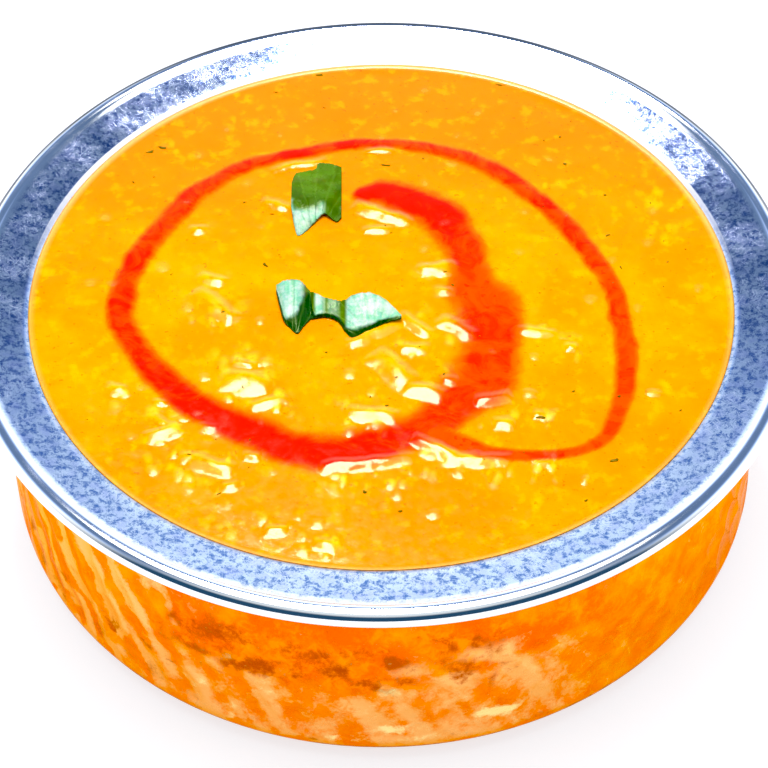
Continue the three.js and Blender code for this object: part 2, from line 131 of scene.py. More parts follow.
# Lesser wet lumps between them: x, y, length, width, share of their height and bearing.
LUMP_RISE = 0.5
LUMPS = (
    (-0.3, 16.2, 5.0, 1.8, 0.6, 0), (-19.7, 23.5, 5.0, 2.0, 0.6, -16),
    (-15.4, 34.5, 10.0, 1.5, 0.5, 16), (0.1, 38.2, 4.6, 1.3, 0.45, 0),
    (11.4, 0.5, 2.4, 2.0, 0.6, 0), (-1.0, -9.9, 10.0, 2.2, 0.8, 33),
    (6.0, -8.2, 6.6, 2.2, 0.8, -37), (5.9, -13.7, 5.0, 2.0, 0.6, 0),
    (11.9, -21.7, 2.7, 1.8, 0.6, 0), (20.9, -31.8, 3.6, 2.4, 0.7, 0),
    (27.7, -9.9, 5.4, 1.8, 0.6, -9), (33.3, -14.0, 2.4, 1.8, 0.6, 0),
    (27.3, -29.6, 2.2, 1.8, 0.5, 0), (26.9, -41.1, 2.4, 1.4, 0.5, 0),
    (-30.9, 4.0, 4.9, 2.2, 0.7, -33), (-24.3, -17.4, 4.2, 2.6, 0.8, -20),
    (-19.7, -25.9, 6.0, 2.2, 0.6, 20), (-46.2, -23.0, 2.8, 2.4, 0.7, 0),
    (-38.7, -30.6, 3.6, 2.2, 0.7, -41), (-32.4, -38.5, 4.5, 2.0, 0.6, 0),
    (-38.6, -26.0, 1.8, 1.5, 0.5, 0), (-30.0, -31.9, 3.0, 1.6, 0.5, -20),
    (-22.3, -38.1, 2.8, 1.7, 0.6, -10), (-18.0, -54.5, 2.6, 1.9, 0.6, 0),
    (-9.7, -57.8, 3.4, 2.2, 0.6, -20), (-25.8, -44.7, 3.0, 1.6, 0.5, 0),
    (-33.8, 17.1, 3.2, 2.4, 0.6, 0),
)

# ---------------------------------------------------------------- sizes of the leaves

# A leaf is a sheet laid through stations from left to right. A station holds its place
# along X, where its far edge lies along Y and how high over the dal, the same two for its
# near edge, and its fold: the share of the way from far to near and its height.
LEAF_THICKNESS = 0.3
LEAVES = {
    "coriander_leaf_back": (
        (-16.6, 28.9, 0.9, 22.2, 1.0, 0.58, 1.2), (-15.9, 31.4, 0.8, 17.4, 0.5, 0.55, 1.4),
        (-15.0, 31.8, 0.8, 15.2, 0.1, 0.52, 1.5), (-12.3, 32.5, 0.8, 18.2, 0.5, 0.65, 1.6),
        (-11.7, 34.2, 0.7, 19.1, 0.6, 0.72, 1.6), (-10.3, 34.3, 0.7, 20.3, 0.9, 0.75, 1.5),
        (-8.2, 33.6, 0.8, 18.7, 0.4, 0.54, 1.1), (-7.2, 32.9, 0.9, 19.6, 0.5, 0.47, 0.9),
    ),
    "coriander_leaf_front": (
        (-18.9, 1.2, 1.6, -0.5, 1.0, 0.59, 1.3), (-17.6, 1.3, 2.2, -6.4, 0.5, 0.91, 0.9),
        (-16.2, 1.5, 2.5, -8.6, 0.2, 0.81, 1.0), (-15.0, 1.4, 2.5, -9.9, 0.2, 0.56, 1.4),
        (-13.9, 0.9, 1.9, -8.2, 0.3, 0.23, 1.5), (-12.8, 0.3, 0.5, -6.6, 0.3, 0.09, 0.5),
        (-12.0, -1.2, 1.7, -6.3, 0.4, 0.92, 1.0), (-9.6, -2.3, 1.4, -6.1, 0.4, 0.92, 0.9),
        (-7.8, -2.9, 1.3, -7.1, 0.4, 0.90, 0.8), (-6.5, -3.0, 1.5, -9.5, 0.3, 0.92, 0.8),
        (-5.1, -2.3, 2.0, -10.9, 0.1, 0.87, 0.9), (-2.4, -1.9, 2.3, -9.6, 0.2, 0.88, 1.1),
        (0.6, -3.2, 2.1, -8.0, 0.7, 0.90, 1.2), (3.6, -6.6, 1.2, -7.2, 1.1, 0.50, 1.2),
    ),
}

# ---------------------------------------------------------------- arrays


def unit(degrees):
    """The unit vector, or vectors, at a bearing from +X."""
    turn = np.radians(degrees)
    return np.stack([np.cos(turn), np.sin(turn)], -1)


def smoothstep(low, high, values):
    share = np.clip((values - low) / (high - low), 0, 1)
    return share * share * (3 - 2 * share)


LATTICE = 64


def lattice(x, y, cell, seed):
    """Smooth noise from -1 to 1: random heights one cell apart, blended between."""
    table = np.random.default_rng(seed).uniform(-1, 1, (LATTICE, LATTICE))
    u, v = x / cell, y / cell
    i, j = np.floor(u).astype(int), np.floor(v).astype(int)
    s, t = smoothstep(0, 1, u - i), smoothstep(0, 1, v - j)

    def at(across, up):
        return table[(i + across) % LATTICE, (j + up) % LATTICE]

    return (at(0, 0) * (1 - s) + at(1, 0) * s) * (1 - t) + (at(0, 1) * (1 - s) + at(1, 1) * s) * t


def layers(x, y, cell, seed, count):
    """Noise of several layers, each of half the cell and half the height, from -1 to 1."""
    total = sum(lattice(x, y, cell / 2**k, seed + k) / 2**k for k in range(count))
    return total / (2 - 2 ** (1 - count))


def varied(least, added, shares):
    """A least amount and shares of an added one."""
    return least + added * shares


PEBBLE_RADIUS = (0.28, 0.4)
PEBBLE_STRETCH = (1, 0.7)
PEBBLE_POWER = 0.6
PEBBLE_DRAWS = 5


def pebbles(x, y, cell, seed, share):
    """Height from 0 to 1 of round bumps, one at random in some cells of a lattice. The
    numbers drawn for each are its place, radius and stretch, and whether it is there."""
    table = np.random.default_rng(seed).uniform(0, 1, (LATTICE, LATTICE, PEBBLE_DRAWS))
    i, j = np.floor(x / cell).astype(int), np.floor(y / cell).astype(int)
    highest = np.zeros_like(x)
    for across in (-1, 0, 1):
        for up in (-1, 0, 1):
            here = table[(i + across) % LATTICE, (j + up) % LATTICE]
            dx = x / cell - (i + across + here[..., 0])
            dy = y / cell - (j + up + here[..., 1])
            radius = varied(*PEBBLE_RADIUS, here[..., 2])
            stretch = varied(*PEBBLE_STRETCH, here[..., 3])
            dome = 1 - (dx * dx * stretch + dy * dy / stretch) / radius**2
            highest = np.maximum(highest, np.where(here[..., 4] < share, dome, 0))
    return np.clip(highest, 0, 1) ** PEBBLE_POWER


def along_and_across(x, y, middle_x, middle_y, length, width, bearing):
    """Places measured from the middle of an oval, in halves of its length and width."""
    forward = unit(bearing)
    along = ((x - middle_x) * forward[0] + (y - middle_y) * forward[1]) / (length / 2)
    across = ((y - middle_y) * forward[0] - (x - middle_x) * forward[1]) / (width / 2)
    return along, across


def through_stops(stops, places):
    """Rows on a Catmull-Rom curve through rows of stops, at places counted in stops."""
    stops = np.concatenate([[2 * stops[0] - stops[1]], stops, [2 * stops[-1] - stops[-2]]])
    k = np.minimum(places.astype(int), len(stops) - 4)
    t = (places - k)[..., None]
    before, here, after, beyond = (stops[k + i] for i in range(4))
    lead, trail = (after - before) / 2, (beyond - here) / 2
    bend = 3 * (after - here) - 2 * lead - trail
    close = 2 * (here - after) + lead + trail
    return here + lead * t + bend * t**2 + close * t**3


# ---------------------------------------------------------------- meshes


def grid_faces(rows, columns, closed=False):
    """Corners of the quads of a grid numbered row by row, the last column joined to the
    first where it is closed."""
    first = np.arange(columns if closed else columns - 1)
    then = (first + 1) % columns
    start = np.arange(rows - 1)[:, None] * columns
    corners = (start + first, start + then, start + columns + then, start + columns + first)
    return np.stack(corners, -1).reshape(-1, 4)


def new_piece(name, points, faces, finish, replaces=(), values=None):
    """A smooth mesh piece from points in mm and arrays of corners, riding on the bowl.

    Values are the per-point numbers that its material reads, by name."""
    mesh = bpy.data.meshes.new(name)
    corners = np.concatenate([f.ravel() for f in faces]).astype(np.int32)
    sizes = np.concatenate([np.full(len(f), f.shape[1]) for f in faces]).astype(np.int32)
    mesh.vertices.add(len(points))
    mesh.vertices.foreach_set("co", (np.asarray(points) * METRES_PER_MM).astype(np.float32).ravel())
    mesh.loops.add(len(corners))
    mesh.loops.foreach_set("vertex_index", corners)
    mesh.polygons.add(len(sizes))
    starts = np.concatenate([[0], np.cumsum(sizes)[:-1]])
    mesh.polygons.foreach_set("loop_start", starts.astype(np.int32))
    mesh.polygons.foreach_set("use_smooth", np.ones(len(sizes), bool))
    mesh.update(calc_edges=True)
    for key, numbers in (values or {}).items():
        layer = mesh.attributes.new(key, "FLOAT", "POINT")
        layer.data.foreach_set("value", numbers.astype(np.float32))
    if mesh.validate():
        raise RuntimeError(f"{name} has faces that can't be used")
    mesh.materials.append(finish)
    piece = bpy.data.objects.new(name, mesh)
    bpy.context.scene.collection.objects.link(piece)
    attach(piece, "root")
    if replaces:
        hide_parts(*replaces)
    return piece


def revolved(radius, height, low, high):
    """Points and faces of a closed solid of revolution. Rows of the two arrays run up the
    outside from the low point on the axis to the high one; columns go round."""
    rows, columns = radius.shape
    angle = np.linspace(0, TURN, columns, endpoint=False)
    ring = np.stack([radius * np.cos(angle), radius * np.sin(angle), height], -1).reshape(-1, 3)
    points = np.concatenate([ring, [[0, 0, low], [0, 0, high]]])
    first = np.arange(columns)
    then = (first + 1) % columns
    low_number, high_number = len(ring), len(ring) + 1
    last = (rows - 1) * columns
    fans = np.concatenate([
        np.stack([np.full(columns, low_number), then, first], -1),
        np.stack([last + first, last + then, np.full(columns, high_number)], -1),
    ])
    return points, [grid_faces(rows, columns, closed=True), fans]


def with_ends(amount):
    """The numbers of a revolved solid's points, with none on its two points on the axis."""
    return np.concatenate([np.ravel(amount), [0, 0]])


# ---------------------------------------------------------------- the bowl's section


def arc(centre, radius, start, end, steps):
    """Points on an arc between two bearings."""
    bearing = np.linspace(start, end, steps + 1)
    return np.asarray(centre) + radius * unit(bearing)


CORNER_CENTRE = (FLOOR_RADIUS, FLOOR_HEIGHT + CORNER_RADIUS)
BEAD_CENTRE = (RIM_RADIUS - BEAD_RADIUS, RIM_HEIGHT - BEAD_RADIUS)
BAND_NORMAL = BAND_SLOPE + 90
SIDE_FINE_STEPS = 400
SMALL_STEP = 0.001


def side_points(share, offset):
    """Points on the side at shares of its length, moved outwards by the offset, and the
    side's length. It is a cubic Bezier curve from the floor's corner to the neck's foot."""
    foot = np.array([FLOOR_RADIUS + CORNER_RADIUS, CORNER_CENTRE[1]])
    neck = np.asarray(NECK_CENTRE) + NECK_RADIUS * unit(SHOULDER_HEADING + 90)
    controls = (foot, foot + (0, SIDE_REACH), neck - SHOULDER_REACH * unit(SHOULDER_HEADING), neck)

    def curve(t):
        t = t[:, None]
        weights = ((1 - t) ** 3, 3 * t * (1 - t) ** 2, 3 * t * t * (1 - t), t**3)
        return sum(w * c for w, c in zip(weights, controls))

    fine = np.linspace(0, 1, SIDE_FINE_STEPS)
    steps = np.linalg.norm(np.diff(curve(fine), axis=0), axis=1)
    length = np.concatenate([[0], np.cumsum(steps)])
    t = np.interp(share, length / length[-1], fine)
    along = curve(np.minimum(t + SMALL_STEP, 1)) - curve(np.maximum(t - SMALL_STEP, 0))
    along /= np.linalg.norm(along, axis=1)[:, None]
    outward = np.stack([along[:, 1], -along[:, 0]], -1)
    return curve(t) + outward * offset, length[-1]


def neck_points(offset, steps):
    return arc(NECK_CENTRE, NECK_RADIUS - offset, SHOULDER_HEADING + 90, BAND_NORMAL, steps)


def band_point(radius, offset):
    """The point of the band's face that lies at a distance from the axis."""
    start = neck_points(offset, 1)[-1]
    return np.array([radius, start[1] + (radius - start[0]) * math.tan(math.radians(BAND_SLOPE))])


def body_section(offset, corner_steps=6, side_steps=20, neck_steps=12):
    """The section from the floor's edge up to where the band begins."""
    shares = np.linspace(0, 1, side_steps + 1)[1:-1]
    return np.concatenate([
        arc(CORNER_CENTRE, CORNER_RADIUS + offset, -90, 0, corner_steps),
        side_points(shares, offset)[0],
        neck_points(offset, neck_steps),
    ])


def bead_bearing(offset):
    """Where the band's face at this offset runs into the bead's circle."""
    to_bead = np.subtract(BEAD_CENTRE, NECK_CENTRE)
    distance = NECK_RADIUS - offset - to_bead @ unit(BAND_NORMAL)
    return BAND_NORMAL + math.degrees(math.acos(distance / BEAD_RADIUS))


# ---------------------------------------------------------------- finishes


# The mix node's sockets for colours, by number because its sockets share their names.
MIX_SHARE, MIX_FIRST, MIX_SECOND = 0, 6, 7
MIX_RESULT = 2


class Finish:
    """A material round one principled surface, with short ways to add nodes."""

    def __init__(self, name, constants):
        self.material = bpy.data.materials.new(name)
        self.material.use_nodes = True
        self.tree = self.material.node_tree
        self.surface = self.tree.nodes["Principled BSDF"]
        for socket, value in constants.items():
            self.surface.inputs[socket].default_value = value
        self.place = self.node("ShaderNodeTexCoord").outputs["Object"]

    def node(self, kind, inputs=None, **settings):
        made = self.tree.nodes.new(kind)
        for key, value in settings.items():
            setattr(made, key, value)
        for key, value in (inputs or {}).items():
            if isinstance(value, bpy.types.NodeSocket):
                self.tree.links.new(value, made.inputs[key])
            else:
                made.inputs[key].default_value = value
        return made

    def drive(self, socket, source):
        self.tree.links.new(source, self.surface.inputs[socket])

    def value(self, name):
        """A number stored on the piece's points."""
        return self.node("ShaderNodeAttribute", attribute_name=name).outputs["Fac"]

    def noise(self, scale, detail=3.0, roughness=0.55, vector=None, distortion=0.0):
        made = self.node("ShaderNodeTexNoise", {
            "Vector": vector or self.place, "Scale": scale, "Detail": detail,
            "Roughness": roughness, "Distortion": distortion,
        })
        return made.outputs["Fac"]

    def cells(self, scale):
        made = self.node("ShaderNodeTexVoronoi", {"Vector": self.place, "Scale": scale})
        return made.outputs["Distance"]

    def grain(self, stretch, turn):
        """The place turned about Z, then drawn out along its own Y, for fine lines."""
        made = self.node("ShaderNodeMapping", {
            "Vector": self.place, "Rotation": (0, 0, math.radians(turn)),
            "Scale": (1 / stretch, 1.0, 1.0),
        }, vector_type="TEXTURE")
        return made.outputs["Vector"]

    def math(self, operation, first, second, clamp=False):
        made = self.node(
            "ShaderNodeMath", {0: first, 1: second}, operation=operation, use_clamp=clamp)
        return made.outputs["Value"]

    def times(self, first, second, clamp=False):
        return self.math("MULTIPLY", first, second, clamp)

    def plus(self, first, second):
        return self.math("ADD", first, second)

    def remap(self, source, low, high, to_low=0.0, to_high=1.0):
        made = self.node("ShaderNodeMapRange", {
            "Value": source, "From Min": low, "From Max": high,
            "To Min": to_low, "To Max": to_high,
        }, interpolation_type="SMOOTHSTEP")
        return made.outputs["Result"]

    def blend(self, share, first, second):
        """One colour into another by a share."""
        made = self.node("ShaderNodeMix", data_type="RGBA")
        for number, value in ((MIX_SHARE, share), (MIX_FIRST, first), (MIX_SECOND, second)):
            if isinstance(value, bpy.types.NodeSocket):
                self.tree.links.new(value, made.inputs[number])
            else:
                made.inputs[number].default_value = (*value, 1.0)
        return made.outputs[MIX_RESULT]

    def relief(self, height, distance):
        """A normal bent by a height, with its full rise in metres."""
        made = self.node("ShaderNodeBump", {"Height": height, "Distance": distance})
        return made.outputs["Normal"]


# In every finish a noise is how often it changes in a metre, its layers and how strong the
# finer ones are. A range is from where to where a mask sets in and, where it has four
# numbers, between which two amounts. Reliefs are in metres.
STEEL_CLOUD = (110.0, 4.0, 0.6)
STEEL_MOTTLE = (760.0, 5.0, 0.75)
STEEL_TINGE = (380.0, 3.0)
MOTTLE_RANGE = (0.39, 0.57)
TINGE_RANGE = (0.48, 0.64, 0.0, 0.4)
MOTTLE_RELIEF = 0.000004
POLISH = (0.3, 0.75, 0.07, 0.14)
# Painted shade on the lip as it turns down, and how far the painted cream highlight near the dal
# hides the metal.
LIP_SHADE = 0.4
GLINT_COVER = 0.85

# Scratches: the way each set runs, in degrees from +Y, and how slender its lines are.
SCRATCHES = ((8, 10), (41, 14), (77, 9), (112, 12), (149, 15))
SCRATCH_NOISE = (420.0, 2.0, 0.5)
SCRATCH_RANGE = (0.58, 0.70)
SCRATCHED_PATCHES = (0.38, 0.6, 0.35, 1.0)
SCRATCH_STRENGTH = 0.8
SCRATCH_ROUGHNESS = 0.07


def steel_finish(settings):
    """Polished steel dulled by use: hairline scratches in every direction over a fine
    mottle of grey, blue and violet. Scratches are rougher, so they catch the light from
    above. The rolled rim is bright, with a painted dark reflection on its outer edge.
    The lip is painted with shade where it turns down, and a painted cream highlight lies
    on the steel close to the dal."""
    finish = Finish("brushed_steel", {})
    dull, lip, glint = finish.value("dull"), finish.value("lip"), finish.value("glint")
    cloud = finish.noise(*STEEL_CLOUD)
    mottle = finish.noise(*STEEL_MOTTLE)
    sets = [
        finish.remap(finish.noise(*SCRATCH_NOISE, finish.grain(stretch, turn)), *SCRATCH_RANGE)
        for turn, stretch in SCRATCHES]
    scratches = sets[0]
    for lines in sets[1:]:
        scratches = finish.math("MAXIMUM", scratches, lines)
    scratches = finish.times(scratches, finish.remap(cloud, *SCRATCHED_PATCHES))
    tint = finish.blend(
        finish.remap(mottle, *MOTTLE_RANGE), settings.steel_shade, settings.steel_colour)
    tinge = finish.remap(finish.noise(*STEEL_TINGE), *TINGE_RANGE)
    tint = finish.blend(tinge, tint, settings.steel_violet)
    rubbed = finish.times(scratches, SCRATCH_STRENGTH)
    tint = finish.blend(rubbed, tint, settings.steel_rubbed)
    # Painted shade on the lip as it turns down towards the dal.
    tint = finish.blend(finish.times(lip, LIP_SHADE), tint, settings.steel_shade)
    # A painted cream highlight on the steel beside the dal.
    tint = finish.blend(glint, tint, settings.steel_glint)
    # The bead is plain bright steel, with a painted dark reflection on its outside.
    bright = finish.blend(finish.value("edge"), settings.steel_rubbed, settings.steel_edge_shade)
    finish.drive("Base Color", finish.blend(dull, bright, tint))
    # Where the painted highlight lies, the steel is less metallic, so its colour shows.
    covered = finish.times(glint, GLINT_COVER)
    finish.drive("Metallic", finish.math("SUBTRACT", 1.0, covered))
    scratched = finish.times(scratches, finish.times(dull, SCRATCH_ROUGHNESS))
    finish.drive("Roughness", finish.plus(finish.remap(cloud, *POLISH), scratched))
    finish.drive("Normal", finish.relief(finish.times(mottle, dull), MOTTLE_RELIEF))
    return finish.material


# The copper's patches and grain, how both fray the patina and its painted light, and how
# it is polished.
COPPER_PATCH = (430.0, 4.0, 0.65)
COPPER_PATCH_TWIST = 0.5
COPPER_GRAIN = (1500.0, 4.0, 0.7)
RAGGED_BY_PATCH = (0.25, 0.75, -0.24, 0.24)
RAGGED_BY_GRAIN = (0.3, 0.7, -0.12, 0.12)
RICH_RANGE = (0.35, 0.65)
PATINA_AND_LIGHT_RANGE = (0.15, 0.95)
COPPER_POLISH = (0.3, 0.7, 0.16, 0.30)
COPPER_GRAIN_SHARE = 0.4
COPPER_RELIEF = 0.0001
COPPER_GLOSS_TINT = (1.0, 0.62, 0.25, 1.0)


def copper_finish(settings):
    """Bright copper. How much of each colour lies at a place, patina and painted light
    alike, is stored on the piece, and noise makes the patches' edges ragged."""
    finish = Finish("hammered_copper", {"Metallic": 1.0, "Specular Tint": COPPER_GLOSS_TINT})
    patch = finish.noise(*COPPER_PATCH, distortion=COPPER_PATCH_TWIST)
    grain = finish.noise(*COPPER_GRAIN)
    ragged = finish.plus(
        finish.remap(patch, *RAGGED_BY_PATCH), finish.remap(grain, *RAGGED_BY_GRAIN))
    tone = finish.blend(
        finish.remap(patch, *RICH_RANGE), settings.copper_colour, settings.copper_rich)
    # Besides their own tones these carry painted light: highlights in gold, shade under the rim and
    # in hollows in deep, reflections of the floor in peach, dark reflections and shadow in tarnish,
    # and highlights in gleam.
    for name, tint in (
        ("gold", settings.copper_gold_and_glint), ("deep", settings.copper_deep_and_shade),
        ("peach", settings.copper_peach_reflection), ("tarnish_and_shade", settings.copper_tarnish_and_shade),
        ("gleam", settings.copper_gleam_highlight),
    ):
        amount = finish.plus(finish.value(name), ragged)
        tone = finish.blend(finish.remap(amount, *PATINA_AND_LIGHT_RANGE), tone, tint)
    finish.drive("Base Color", tone)
    finish.drive("Roughness", finish.remap(patch, *COPPER_POLISH))
    fine = finish.plus(finish.times(grain, COPPER_GRAIN_SHARE), patch)
    finish.drive("Normal", finish.relief(fine, COPPER_RELIEF))
    return finish.material


# The dal's mottle from broad to fine, its flesh and spice, then how the oil lies in it, and
# how wet it is.
DAL_BROAD = (65.0, 5.0, 0.65)
DAL_BROAD_TWIST = 0.4
DAL_GRAIN = (520.0, 4.0, 0.65)
DAL_MOTTLE = (330.0, 3.0, 0.6)
DAL_FINE = (1500.0, 3.0, 0.6)
WARM_RANGE = (0.34, 0.66)
LIGHT_RANGE = (0.52, 0.68, 0.0, 0.45)
FLESH_GRAIN = (0.25, 0.5)
FLESH_RANGE = (0.1, 0.7)
SPICE_NOISE = (1300.0, 2.0, 0.5)
SPICE_RANGE = (0.66, 0.73)
SPICE_STRENGTH = 0.55
OIL_STREAK = (170.0, 5.0, 0.65)
OIL_STREAK_TWIST = 1.2
OIL_RAGGED = (0.3, 0.7, -0.1, 0.1)
OIL_WANDER = (0.3, 0.7, -0.3, 0.3)
SOAKED_RANGE = (0.02, 0.5)
STAINED_RANGE = (0.25, 0.95)
DEPTH_RANGE = (0.15, 0.95)
# How strong the painted cream highlight at the dal's rim is.
RIM_HIGHLIGHT = 0.6
DREGS_NOISE = (900.0, 2.0, 0.5)
DREGS_RANGE = (0.62, 0.70)
DREGS_STRENGTH = 0.5
DAL_WETNESS = (0.3, 0.7, 0.07, 0.15)
DRY_ROUGHNESS = 0.4
DAL_FINE_SHARE = 0.3
DAL_RELIEF = 0.00002


def dal_finish(settings):
    """Wet cooked lentils: mottled orange-yellow with pale lentil flesh on the lumps, and
    red oil where the drizzle lies, its soft edges soaked into the dal."""
    finish = Finish("wet_dal", {
        "Subsurface Weight": 0.2,
        "Subsurface Radius": (1.0, 0.35, 0.05),
        "Subsurface Scale": 0.0012,
        "Specular IOR Level": 0.6,
        "Specular Tint": (1.0, 0.80, 0.35, 1.0),
    })
    broad = finish.noise(*DAL_BROAD, distortion=DAL_BROAD_TWIST)
    grain = finish.noise(*DAL_GRAIN)
    base = finish.blend(finish.remap(broad, *WARM_RANGE), settings.dal_colour, settings.dal_warm)
    base = finish.blend(finish.value("far"), base, settings.dal_far)
    base = finish.blend(
        finish.remap(finish.noise(*DAL_MOTTLE), *LIGHT_RANGE), base, settings.dal_light)
    flesh = finish.times(finish.value("lump"), finish.remap(grain, *FLESH_GRAIN), clamp=True)
    base = finish.blend(finish.remap(flesh, *FLESH_RANGE), base, settings.lentil_colour)
    spice = finish.remap(finish.noise(*SPICE_NOISE), *SPICE_RANGE)
    base = finish.blend(finish.times(spice, SPICE_STRENGTH), base, settings.spice_colour)
    streak = finish.noise(*OIL_STREAK, distortion=OIL_STREAK_TWIST)
    oil = finish.value("oil")
    ragged = finish.plus(oil, finish.remap(streak, *OIL_RAGGED))
    soaked = finish.blend(finish.remap(ragged, *SOAKED_RANGE), base, settings.oil_edge)
    depth = finish.plus(finish.value("deep"), finish.remap(streak, *OIL_WANDER))
    red = finish.blend(finish.remap(depth, *DEPTH_RANGE), settings.oil_colour, settings.oil_deep)
    stained = finish.blend(finish.remap(ragged, *STAINED_RANGE), soaked, red)
    # A painted cream highlight where the dal meets the steel.
    rim = finish.times(finish.value("rim"), RIM_HIGHLIGHT)
    stained = finish.blend(rim, stained, settings.dal_rim_highlight)
    dregs = finish.remap(finish.noise(*DREGS_NOISE), *DREGS_RANGE)
    dregs = finish.times(dregs, finish.times(oil, DREGS_STRENGTH))
    finish.drive("Base Color", finish.blend(dregs, stained, settings.chilli_colour))
    dry = finish.times(finish.value("dry"), DRY_ROUGHNESS)
    finish.drive("Roughness", finish.plus(finish.remap(grain, *DAL_WETNESS), dry))
    fine = finish.plus(grain, finish.times(finish.noise(*DAL_FINE), DAL_FINE_SHARE))
    finish.drive("Normal", finish.relief(fine, DAL_RELIEF))
    return finish.material


# The leaf's light and dark, its bruises, how much its veins show, and its skin.
LEAF_CLOUD = (260.0, 4.0, 0.6)
LEAF_STREAK = (500.0, 4.0, 0.7)
LEAF_RANGE = (0.35, 0.65)
BRUISE_RANGE = (0.55, 0.7, 0.0, 0.5)
VEIN_ON_GREEN = 0.13
VEIN_ON_PALE = 0.2
LEAF_GLOSS = (0.3, 0.7, 0.18, 0.34)
SKIN_CELLS = 1700.0
SKIN_RELIEF = 0.00003


def leaf_finish(settings):
    """Fresh wet coriander: a waxy green skin with painted shade in the folds and on the
    underside, pale where the underside is turned up and with a painted sheen there, with
    fine veins."""
    finish = Finish("coriander_leaf", {
        "Subsurface Weight": 0.15,
        "Subsurface Radius": (0.3, 0.8, 0.1),
        "Subsurface Scale": 0.0006,
        "Specular IOR Level": 0.22,
        "Specular Tint": (0.85, 1.0, 0.3, 1.0),
    })
    vein = finish.value("vein")
    cloud = finish.noise(*LEAF_CLOUD)
    streak = finish.noise(*LEAF_STREAK)
    blade = finish.blend(
        finish.remap(cloud, *LEAF_RANGE), settings.leaf_colour, settings.leaf_bright)
    blade = finish.blend(finish.remap(streak, *BRUISE_RANGE), blade, settings.leaf_olive)
    # Painted shade in the folds and on the underside.
    blade = finish.blend(finish.value("dark"), blade, settings.leaf_shade_colour)
    blade = finish.blend(finish.times(vein, VEIN_ON_GREEN), blade, settings.vein_colour)
    # The pale underside where it is turned up, painted paler with a sheen of light.
    bloom = finish.blend(
        finish.remap(streak, *LEAF_RANGE), settings.leaf_pale_and_sheen, settings.leaf_mint)
    bloom = finish.blend(finish.times(vein, VEIN_ON_PALE), bloom, settings.leaf_bright)
    finish.drive("Base Color", finish.blend(finish.value("pale"), blade, bloom))
    finish.drive("Roughness", finish.remap(cloud, *LEAF_GLOSS))
    finish.drive("Normal", finish.relief(finish.cells(SKIN_CELLS), SKIN_RELIEF))
    return finish.material


# The flecks' light and dark, and how dull they are.
HERB_CLOUD = (700.0, 3.0, 0.6)
HERB_RANGE = (0.35, 0.65)
HERB_DULLNESS = (0.3, 0.7, 0.5, 0.7)
HERB_RELIEF = 0.0001


def herb_finish(settings):
    """Cooked herb flecks: dull olive to near black green."""
    finish = Finish("cooked_herb", {"Specular IOR Level": 0.1})
    cloud = finish.noise(*HERB_CLOUD)
    finish.drive("Base Color", finish.blend(
        finish.remap(cloud, *HERB_RANGE), settings.herb_colour, settings.herb_dark))
    finish.drive("Roughness", finish.remap(cloud, *HERB_DULLNESS))
    finish.drive("Normal", finish.relief(cloud, HERB_RELIEF))
    return finish.material


# ---------------------------------------------------------------- shapes of the bowl

STEEL_SEGMENTS = 288
BEAD_STEPS = 28
BAND_STEPS = 6
LIP_STEPS = 30
# The lip's painted shade and the painted cream highlight set in between these bearings round the
# neck.
LIP_TURN = (101.0, 108.0)
GLINT_TURN = (103.0, 108.0)

# The painted dark reflection on the bead's outside ends at a bearing round its section,
# which swings with the place round the bowl. The last two show how the painted cream
# highlight and the painted dark reflection set in towards the far side, by the sine of the
# bearing.
EDGE_LIMIT = 58.0
EDGE_SWING = 42.0
EDGE_FADE = 12.0
PAST_EVERY_LIMIT = 180.0
GLINT_SETS_IN = (-0.1, 0.6)
EDGE_SETS_IN = (-0.2, 0.3)


def steel_liner_shape():
    """The liner: a closed section turned about the axis, up the outside of the sheet,
    round the bead and down its inner face. Its material reads where the sheet is dulled,
    where the lip is painted with shade as it turns down, where a painted cream highlight
    lies beside the dal, and where a painted dark reflection lies on the bead's outside.
    Both of the last lie mostly on the far half."""
    bead_ends = bead_bearing(STEEL) - 360, bead_bearing(0)
    bead = arc(BEAD_CENTRE, BEAD_RADIUS, *bead_ends, BEAD_STEPS)
    inner = body_section(0, neck_steps=LIP_STEPS)[::-1]
    band = np.linspace(bead[-1], inner[0], BAND_STEPS + 1)[1:-1]
    under = body_section(STEEL)
    below = np.linspace(under[-1], bead[0], BAND_STEPS + 1)[1:-1]
    section = np.concatenate([under, below, bead, band, inner])
    radius, height = (np.repeat(column, STEEL_SEGMENTS, axis=1) for column in np.hsplit(section, 2))
    points, faces = revolved(radius, height, FLOOR_HEIGHT - STEEL, FLOOR_HEIGHT)
    row = np.arange(len(section))[:, None]
    first_inner, first_bead = len(section) - len(inner), len(under) + len(below)
    off_x, off_y = np.hsplit(section - NECK_CENTRE, 2)
    turn = np.where(row < first_inner, 0, np.degrees(np.arctan2(off_y, off_x)) % 360)
    round_bead = np.full(row.shape, PAST_EVERY_LIMIT)
    round_bead[first_bead:first_bead + len(bead), 0] = np.linspace(*bead_ends, len(bead))
    far = np.sin(np.linspace(0, TURN, STEEL_SEGMENTS, endpoint=False))[None, :]
    limit = EDGE_LIMIT + EDGE_SWING * far
    all_round = np.ones_like(far)
    values = {
        "dull": (row >= first_inner - len(band)) * all_round,
        "lip": smoothstep(*LIP_TURN, turn) * all_round,
        # Where a painted cream highlight lies beside the dal, mostly on the far half.
        "glint": smoothstep(*GLINT_TURN, turn) * smoothstep(*GLINT_SETS_IN, far),
        # Where a painted dark reflection lies on the bead's outside, mostly on the far half.
        "edge": smoothstep(limit, limit - EDGE_FADE, round_bead) * smoothstep(*EDGE_SETS_IN, far),
    }
    return points, faces, {name: with_ends(amount) for name, amount in values.items()}


